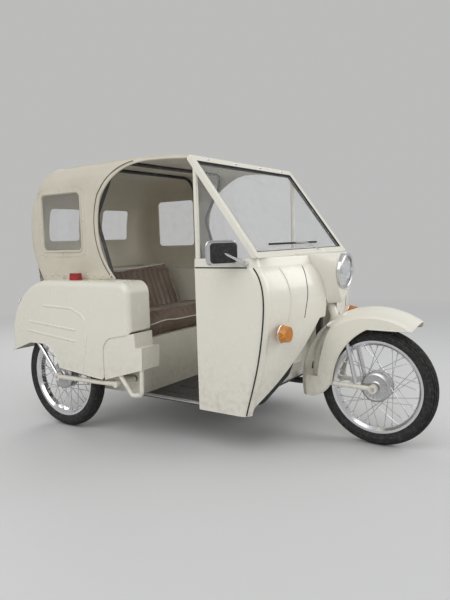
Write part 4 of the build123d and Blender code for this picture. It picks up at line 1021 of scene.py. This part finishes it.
class MOPED_OT_lamps(bpy.types.Operator):
    """Bulbs and bezels"""

    bl_idname = "moped.lamps"
    bl_label = "Lamps"

    def execute(self, context):
        tilt = Vector((cos(LAMP_TILT), 0, -sin(LAMP_TILT)))
        face = LAMP_FACE
        bezel = bmesh.new()
        hoop(bezel, face + tilt * 0.007, tilt, 0.0785, 0.0052)
        hoop(bezel, face + tilt * 0.0095, tilt, 0.0705, 0.0022)
        pebble(bezel, face + tilt * 0.012 + Vector((0, 0, -0.083)), (0.012, 0.009, 0.009))
        bulb = bmesh.new()
        bar(bulb, face - tilt * 0.062, face - tilt * 0.03, 0.012, 0.01)
        pebble(bulb, face - tilt * 0.02, (0.024, 0.02, 0.02))
        low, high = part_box("front_flashers")
        for name, side in SIDES:
            middle = Vector((high.x - 0.034, side * (high.y - 0.038), (low.z + high.z) / 2))
            hoop(bezel, middle, (1, 0, 0), 0.0385, 0.003)
        low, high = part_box("tail_lamps")
        for name, side in SIDES:
            middle = Vector((low.x + 0.004, side * (high.y - 0.03), (low.z + high.z) / 2))
            hoop(bezel, middle, (-1, 0, 0), 0.03, 0.003)
        piece("lamp_bezels", bezel, "chassis", "bright_metal", 60)
        piece("headlamp_bulb", bulb, "chassis", "lamp_glass", 60)
        return {"FINISHED"}


SCREEN_FOOT = Vector((REAR + 1.146, 0, 0.884))
SCREEN_TOP = Vector((REAR + 0.827, 0, 1.315))
SCREEN_UP = (SCREEN_TOP - SCREEN_FOOT).normalized()
SCREEN_OUT = Vector((SCREEN_UP.z, 0, -SCREEN_UP.x))
SCREEN_MIDDLE = (SCREEN_FOOT + SCREEN_TOP) / 2
SCREEN_LENGTH = (SCREEN_TOP - SCREEN_FOOT).length
SCREEN_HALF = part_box("windscreen_frame")[1].y
SCREEN_BAR = 0.03


def on_screen(y, up, out):
    """A place on the windscreen: across, up its slope from the middle, and out from the pane."""
    return SCREEN_MIDDLE + Vector((0, y, 0)) + SCREEN_UP * up + SCREEN_OUT * out


class MOPED_OT_screen_trim(bpy.types.Operator):
    """Rubber seals, studs and the wiper of the windscreen"""

    bl_idname = "moped.screen_trim"
    bl_label = "Windscreen trim"

    def execute(self, context):
        seals = bmesh.new()
        width = 2 * (SCREEN_HALF - SCREEN_BAR) - 0.004
        opening = rounded_rectangle(width, SCREEN_LENGTH - SCREEN_BAR - 0.004, 0.012)
        for out in (-0.006, 0.006):
            tube(seals, [on_screen(y, up, out) for y, up in opening], 0.0042, closed=True)
        blade_up = -SCREEN_LENGTH / 2 + 0.056
        tube(seals, [on_screen(-0.29 + 0.48 * step / 12, blade_up, 0.0065) for step in range(13)], 0.0045)
        piece("screen_seals", seals, "chassis", "grip_rubber", 60)

        bright = bmesh.new()
        for index in range(4):
            foot = on_screen(-0.345 + index * 0.23, SCREEN_LENGTH / 2, 0.011)
            bar(bright, foot, foot + SCREEN_OUT * 0.004, 0.008, 0.007, 16)
            pebble(bright, foot + SCREEN_OUT * 0.004, (0.011, 0.011, 0.011))
        pivot = on_screen(0.13, -SCREEN_LENGTH / 2 + 0.012, 0.011)
        bar(bright, pivot - SCREEN_OUT * 0.002, pivot + SCREEN_OUT * 0.008, 0.011, 0.009, 18)
        elbow = on_screen(0.05, blade_up - 0.008, 0.019)
        tube(bright, [pivot + SCREEN_OUT * 0.006, elbow, on_screen(-0.05, blade_up, 0.011)], 0.003)
        piece("screen_studs", bright, "chassis", "bright_metal", 50)
        return {"FINISHED"}


# Side offset and height down the apron, from the cowl to the lower edge
APRON_CREASE = (
    (0.341, 0.832),
    (0.335, 0.803),
    (0.329, 0.774),
    (0.324, 0.745),
    (0.318, 0.704),
    (0.323, 0.646),
    (0.331, 0.6),
)
# Nose panel joint down the apron: its dark rubber welt is partly a real joint welt and partly a painted shade
# line standing in for the crease's shading
NOSE_JOINT_SHADE_LINE = ((0.203, 0.832), (0.209, 0.79), (0.213, 0.762), (0.216, 0.703), (0.226, 0.65), (0.231, 0.605))
# Distance from the rear axle and height along the rear fender's lower edge
FENDER_LIP = ((0.352, 0.303), (0.3, 0.3065), (0.2, 0.3155), (0.1, 0.324), (0.041, 0.329))
FENDER_ARCH = ((0.041, 0.329), (0.004, 0.398), (-0.07, 0.446))
FENDER_HEEL = ((-0.12, 0.4455), (-0.185, 0.444), (-0.26, 0.418), (-0.343, 0.388))


class MOPED_OT_panel_trim(bpy.types.Operator):
    """Beads, welts and rolled edges of the sheet metal; the dark welt along the nose joint is partly a
    painted shade line for a crease
    """

    bl_idname = "moped.panel_trim"
    bl_label = "Panel trim"

    def execute(self, context):
        apron = skin_of("front_apron", "side_panel_left", "side_panel_right")
        beads = bmesh.new()
        welts = bmesh.new()
        panel_low, panel_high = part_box("side_panel_right")
        half = -panel_low.y
        for name, side in SIDES:
            for line, form, radius in ((APRON_CREASE, beads, 0.0046), (NOSE_JOINT_SHADE_LINE, welts, 0.0022)):
                path = [laid(apron, (1.0, side * y, z), (-1, 0, 0), -0.0006) for y, z in smoothed(line)]
                tube(form, path, radius)
            seam = []
            for index in range(33):
                z = panel_low.z + 0.004 + index * (panel_high.z - panel_low.z - 0.006) / 32
                place = laid(apron, (1.0, side * (half - 0.0095), z), (-1, 0, 0), 0.0003)
                if place is not None:
                    seam.append(place)
            tube(welts, seam, 0.0032)
            rear_end = Vector((panel_low.x + 0.004, side * (half + 0.0002), panel_high.z))
            tube(welts, [rear_end + Vector((step * 0.03, 0, 0)) for step in range(10)], 0.0028)
            lip = list(FENDER_LIP) + arc(*FENDER_ARCH, 14)[1:] + list(FENDER_HEEL)
            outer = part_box("tail_lamps")[1].y + 0.039
            tube(beads, [Vector((REAR + x, side * outer, z)) for x, z in lip], 0.0036)
        middle = wheel_centre("front")
        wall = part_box("front_fender")[1].y
        brink = [(0.172, 0.274), (0.08, 0.274), (-0.022, 0.274)]
        brink += arc((-0.022, 0.274), (-0.132, 0.18), (-0.19, 0.02), 16)[1:]
        brink += arc((-0.19, 0.02), (-0.23, -0.034), (-0.3, -0.062), 10)[1:]
        for name, side in SIDES:
            rolled = bmesh.new()
            tube(rolled, [Vector((middle.x + x, side * wall, AXLE_Z + z)) for x, z in brink], 0.0036)
            piece(f"front_lip_{name}", rolled, "steering", "body_paint", 60)
        piece("panel_beads", beads, "chassis", "body_paint", 60)
        # Dark rubber welts: the side seams are real joints, and the one along the nose joint is partly a
        # painted shade line
        piece("panel_welts_and_shade_line", welts, "chassis", "grip_rubber", 60)

        floor_low, floor_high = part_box("floor_pan")
        sills = bmesh.new()
        for name, side in SIDES:
            y = sorted((side * (floor_high.y - 0.03), side * floor_high.y))
            rear_end = (floor_low.x + 0.004, y[0], floor_high.z - 0.0035)
            slab(sills, rear_end, (REAR + 0.832, y[1], floor_high.z), 0.001)
            for index in range(5):
                screw = (floor_low.x + 0.04 + index * 0.07, side * (floor_high.y - 0.015), floor_high.z)
                pebble(sills, screw, (0.009, 0.009, 0.004))
        piece("sill_strips", sills, "chassis", "alloy", 40)
        return {"FINISHED"}


MIRROR_TURN = radians(32)
GRIP_RIBS = 9
ENGINE_FINS = 12


class MOPED_OT_fittings(bpy.types.Operator):
    """Mirror rim and shell, levers, grip ribs and engine fins"""

    bl_idname = "moped.fittings"
    bl_label = "Fittings"

    def execute(self, context):
        turn = MIRROR_TURN
        across = Vector((sin(turn), cos(turn), 0))
        facing = Vector((-cos(turn), sin(turn), 0))
        glass_low, glass_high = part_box("mirror_glass")
        middle = (glass_low + glass_high) / 2
        rim = bmesh.new()
        loop = rounded_rectangle(0.136, 0.098, 0.02)
        inset_loop = rounded_rectangle(0.12, 0.084, 0.016)
        places = [middle + across * x + Vector((0, 0, z)) + facing * 0.001 for x, z in loop]
        tube(rim, places, 0.0042, closed=True)
        piece("mirror_rim", rim, "chassis", "bright_metal", 60)
        housing = laid(skin_of("mirror"), middle - facing * 0.1 + across * 0.045, facing, 0.0)
        depth = (housing - middle).dot(facing)
        shell = bmesh.new()
        outline = [middle + across * x + Vector((0, 0, z)) + facing * (depth + 0.003) for x, z in inset_loop]
        face = shell.faces.new([shell.verts.new(place) for place in outline])
        raised = bmesh.ops.extrude_face_region(shell, geom=[face])["geom"]
        crest = [part for part in raised if isinstance(part, bmesh.types.BMVert)]
        bmesh.ops.translate(shell, verts=crest, vec=-facing * 0.0065)
        bmesh.ops.recalc_face_normals(shell, faces=shell.faces[:])
        rim_edges = [edge for edge in shell.edges if all(vert in crest for vert in edge.verts)]
        bmesh.ops.bevel(
            shell, geom=rim_edges, offset=0.0022, affect="EDGES", segments=3, profile=0.5, material=-1
        )
        piece("mirror_shell", shell, "chassis", "grip_rubber", 40)

        low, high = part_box("hand_grips")
        z = (low.z + high.z) / 2
        levers = bmesh.new()
        rubber = bmesh.new()
        for name, side in SIDES:
            y = side * (high.y - 0.016)
            bar(levers, (high.x + 0.012, y, z), (high.x + 0.034, y, z), 0.0165, segments=24)
            path = (
                (high.x + 0.022, y + side * 0.012, z - 0.004),
                (high.x + 0.004, y + side * 0.032, z - 0.01),
                (high.x - 0.04, y + side * 0.043, z - 0.014),
                (low.x + 0.012, y + side * 0.045, z - 0.016),
            )
            tube(levers, [Vector(place) for place in smoothed(path, 18)], 0.0042)
            pebble(levers, (low.x + 0.01, y + side * 0.045, z - 0.016), (0.014, 0.014, 0.014))
            for index in range(GRIP_RIBS):
                x = low.x + 0.014 + index * 0.0115
                hoop(rubber, (x, y, z), (1, 0, 0), 0.0158, 0.0016)
            hoop(rubber, (high.x - 0.003, y, z), (1, 0, 0), 0.019, 0.003)
        piece("bar_levers", levers, "steering", "bright_metal", 50)
        piece("grip_ribs", rubber, "steering", "grip_rubber", 60)

        low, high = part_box("engine_block")
        fins = bmesh.new()
        for index in range(ENGINE_FINS):
            x = low.x + 0.012 + index * (high.x - low.x - 0.03) / (ENGINE_FINS - 1)
            slab(fins, (x, low.y + 0.03, high.z - 0.002), (x + 0.004, high.y - 0.03, high.z + 0.016), 0.0008)
        piece("engine_fins", fins, "chassis", "engine_alloy", 40)
        return {"FINISHED"}


class MOPED_OT_stage(bpy.types.Operator):
    """Floor, lights and camera"""

    bl_idname = "moped.stage"
    bl_label = "Stage"

    def execute(self, context):
        stage = context.scene.moped_stage
        studio_floor("studio_floor", stage.floor, stage.backdrop)
        ground = bmesh.new()
        bmesh.ops.create_grid(ground, x_segments=2, y_segments=2, size=14)
        mesh = bpy.data.meshes.new("floor")
        ground.to_mesh(mesh)
        ground.free()
        mesh.materials.append(GLOSS["studio_floor"])
        floor = bpy.data.objects.new("floor", mesh)
        context.scene.collection.objects.link(floor)

        world = bpy.data.worlds.new("studio")
        world.use_nodes = True
        back = world.node_tree.nodes["Background"]
        back.inputs["Color"].default_value = (0.95, 0.97, 1.0, 1)
        back.inputs["Strength"].default_value = stage.sky
        sky = Nodes(world.node_tree)
        screen = sky.add("ShaderNodeBackground", {}, {"Color": (*stage.backdrop, 1)})
        even = Value(sky, back.outputs[0])
        both = sky.add("ShaderNodeMixShader", {}, {0: sky.seen(), 1: even, 2: screen})
        sky.tree.links.new(both.socket, sky.tree.nodes["World Output"].inputs["Surface"])
        context.scene.world = world

        for name, place, size, power in (
            ("key", (0.4, -3.8, 3.8), 4.4, stage.key),
            ("fill", (3.6, 1.6, 2.4), 2.6, stage.fill),
            ("rim", (-3.2, 2.2, 3.0), 2.6, stage.fill),
        ):
            lamp = bpy.data.lights.new(name, "AREA")
            lamp.energy = power
            lamp.size = size
            obj = bpy.data.objects.new(name, lamp)
            aim = Vector((0, 0, 0.6)) - Vector(place)
            obj.matrix_world = Matrix.Translation(place) @ aim.to_track_quat("-Z", "Y").to_matrix().to_4x4()
            context.scene.collection.objects.link(obj)

        level = cos(stage.pitch)
        ahead = Vector((-sin(stage.yaw) * level, cos(stage.yaw) * level, sin(stage.pitch)))
        right = Vector((cos(stage.yaw), sin(stage.yaw), 0))
        up = right.cross(ahead)
        across = right * cos(stage.roll) + up * sin(stage.roll)
        upright = up * cos(stage.roll) - right * sin(stage.roll)
        view = bpy.data.cameras.new("view")
        view.sensor_fit = "VERTICAL"
        view.sensor_height = 36.0
        view.lens = stage.lens
        camera = bpy.data.objects.new("view", view)
        turn = Matrix((across, upright, -ahead)).transposed().to_4x4()
        camera.matrix_world = Matrix.Translation(stage.camera) @ turn
        context.scene.collection.objects.link(camera)
        context.scene.camera = camera
        context.scene.view_settings.view_transform = "Standard"
        return {"FINISHED"}


class MOPED_PT_panel(bpy.types.Panel):
    """Lists the moped's settings and steps"""

    bl_label = "Moped"
    bl_idname = "MOPED_PT_panel"
    bl_space_type = "VIEW_3D"
    bl_region_type = "UI"
    bl_category = "Moped"

    def draw(self, context):
        for settings in (context.scene.moped_looks, context.scene.moped_stage):
            for key in settings.bl_rna.properties.keys():
                if key not in ("rna_type", "name"):
                    self.layout.prop(settings, key)
        for operator in STEPS:
            self.layout.operator(operator.bl_idname)


STEPS = (
    MOPED_OT_finishes,
    MOPED_OT_tyres,
    MOPED_OT_laced_hubs,
    MOPED_OT_hood,
    MOPED_OT_hood_flap,
    MOPED_OT_bench,
    MOPED_OT_lamps,
    MOPED_OT_screen_trim,
    MOPED_OT_panel_trim,
    MOPED_OT_fittings,
    MOPED_OT_stage,
)
CLASSES = (MopedLooks, MopedStage, *STEPS, MOPED_PT_panel)


def register():
    for entry in CLASSES:
        bpy.utils.register_class(entry)
    bpy.types.Scene.moped_looks = bpy.props.PointerProperty(type=MopedLooks)
    bpy.types.Scene.moped_stage = bpy.props.PointerProperty(type=MopedStage)


def unregister():
    del bpy.types.Scene.moped_stage
    del bpy.types.Scene.moped_looks
    for entry in reversed(CLASSES):
        bpy.utils.unregister_class(entry)


def main():
    register()
    for step in STEPS:
        getattr(bpy.ops.moped, step.bl_idname.split(".")[1])()


if __name__ == "__main__":
    main()
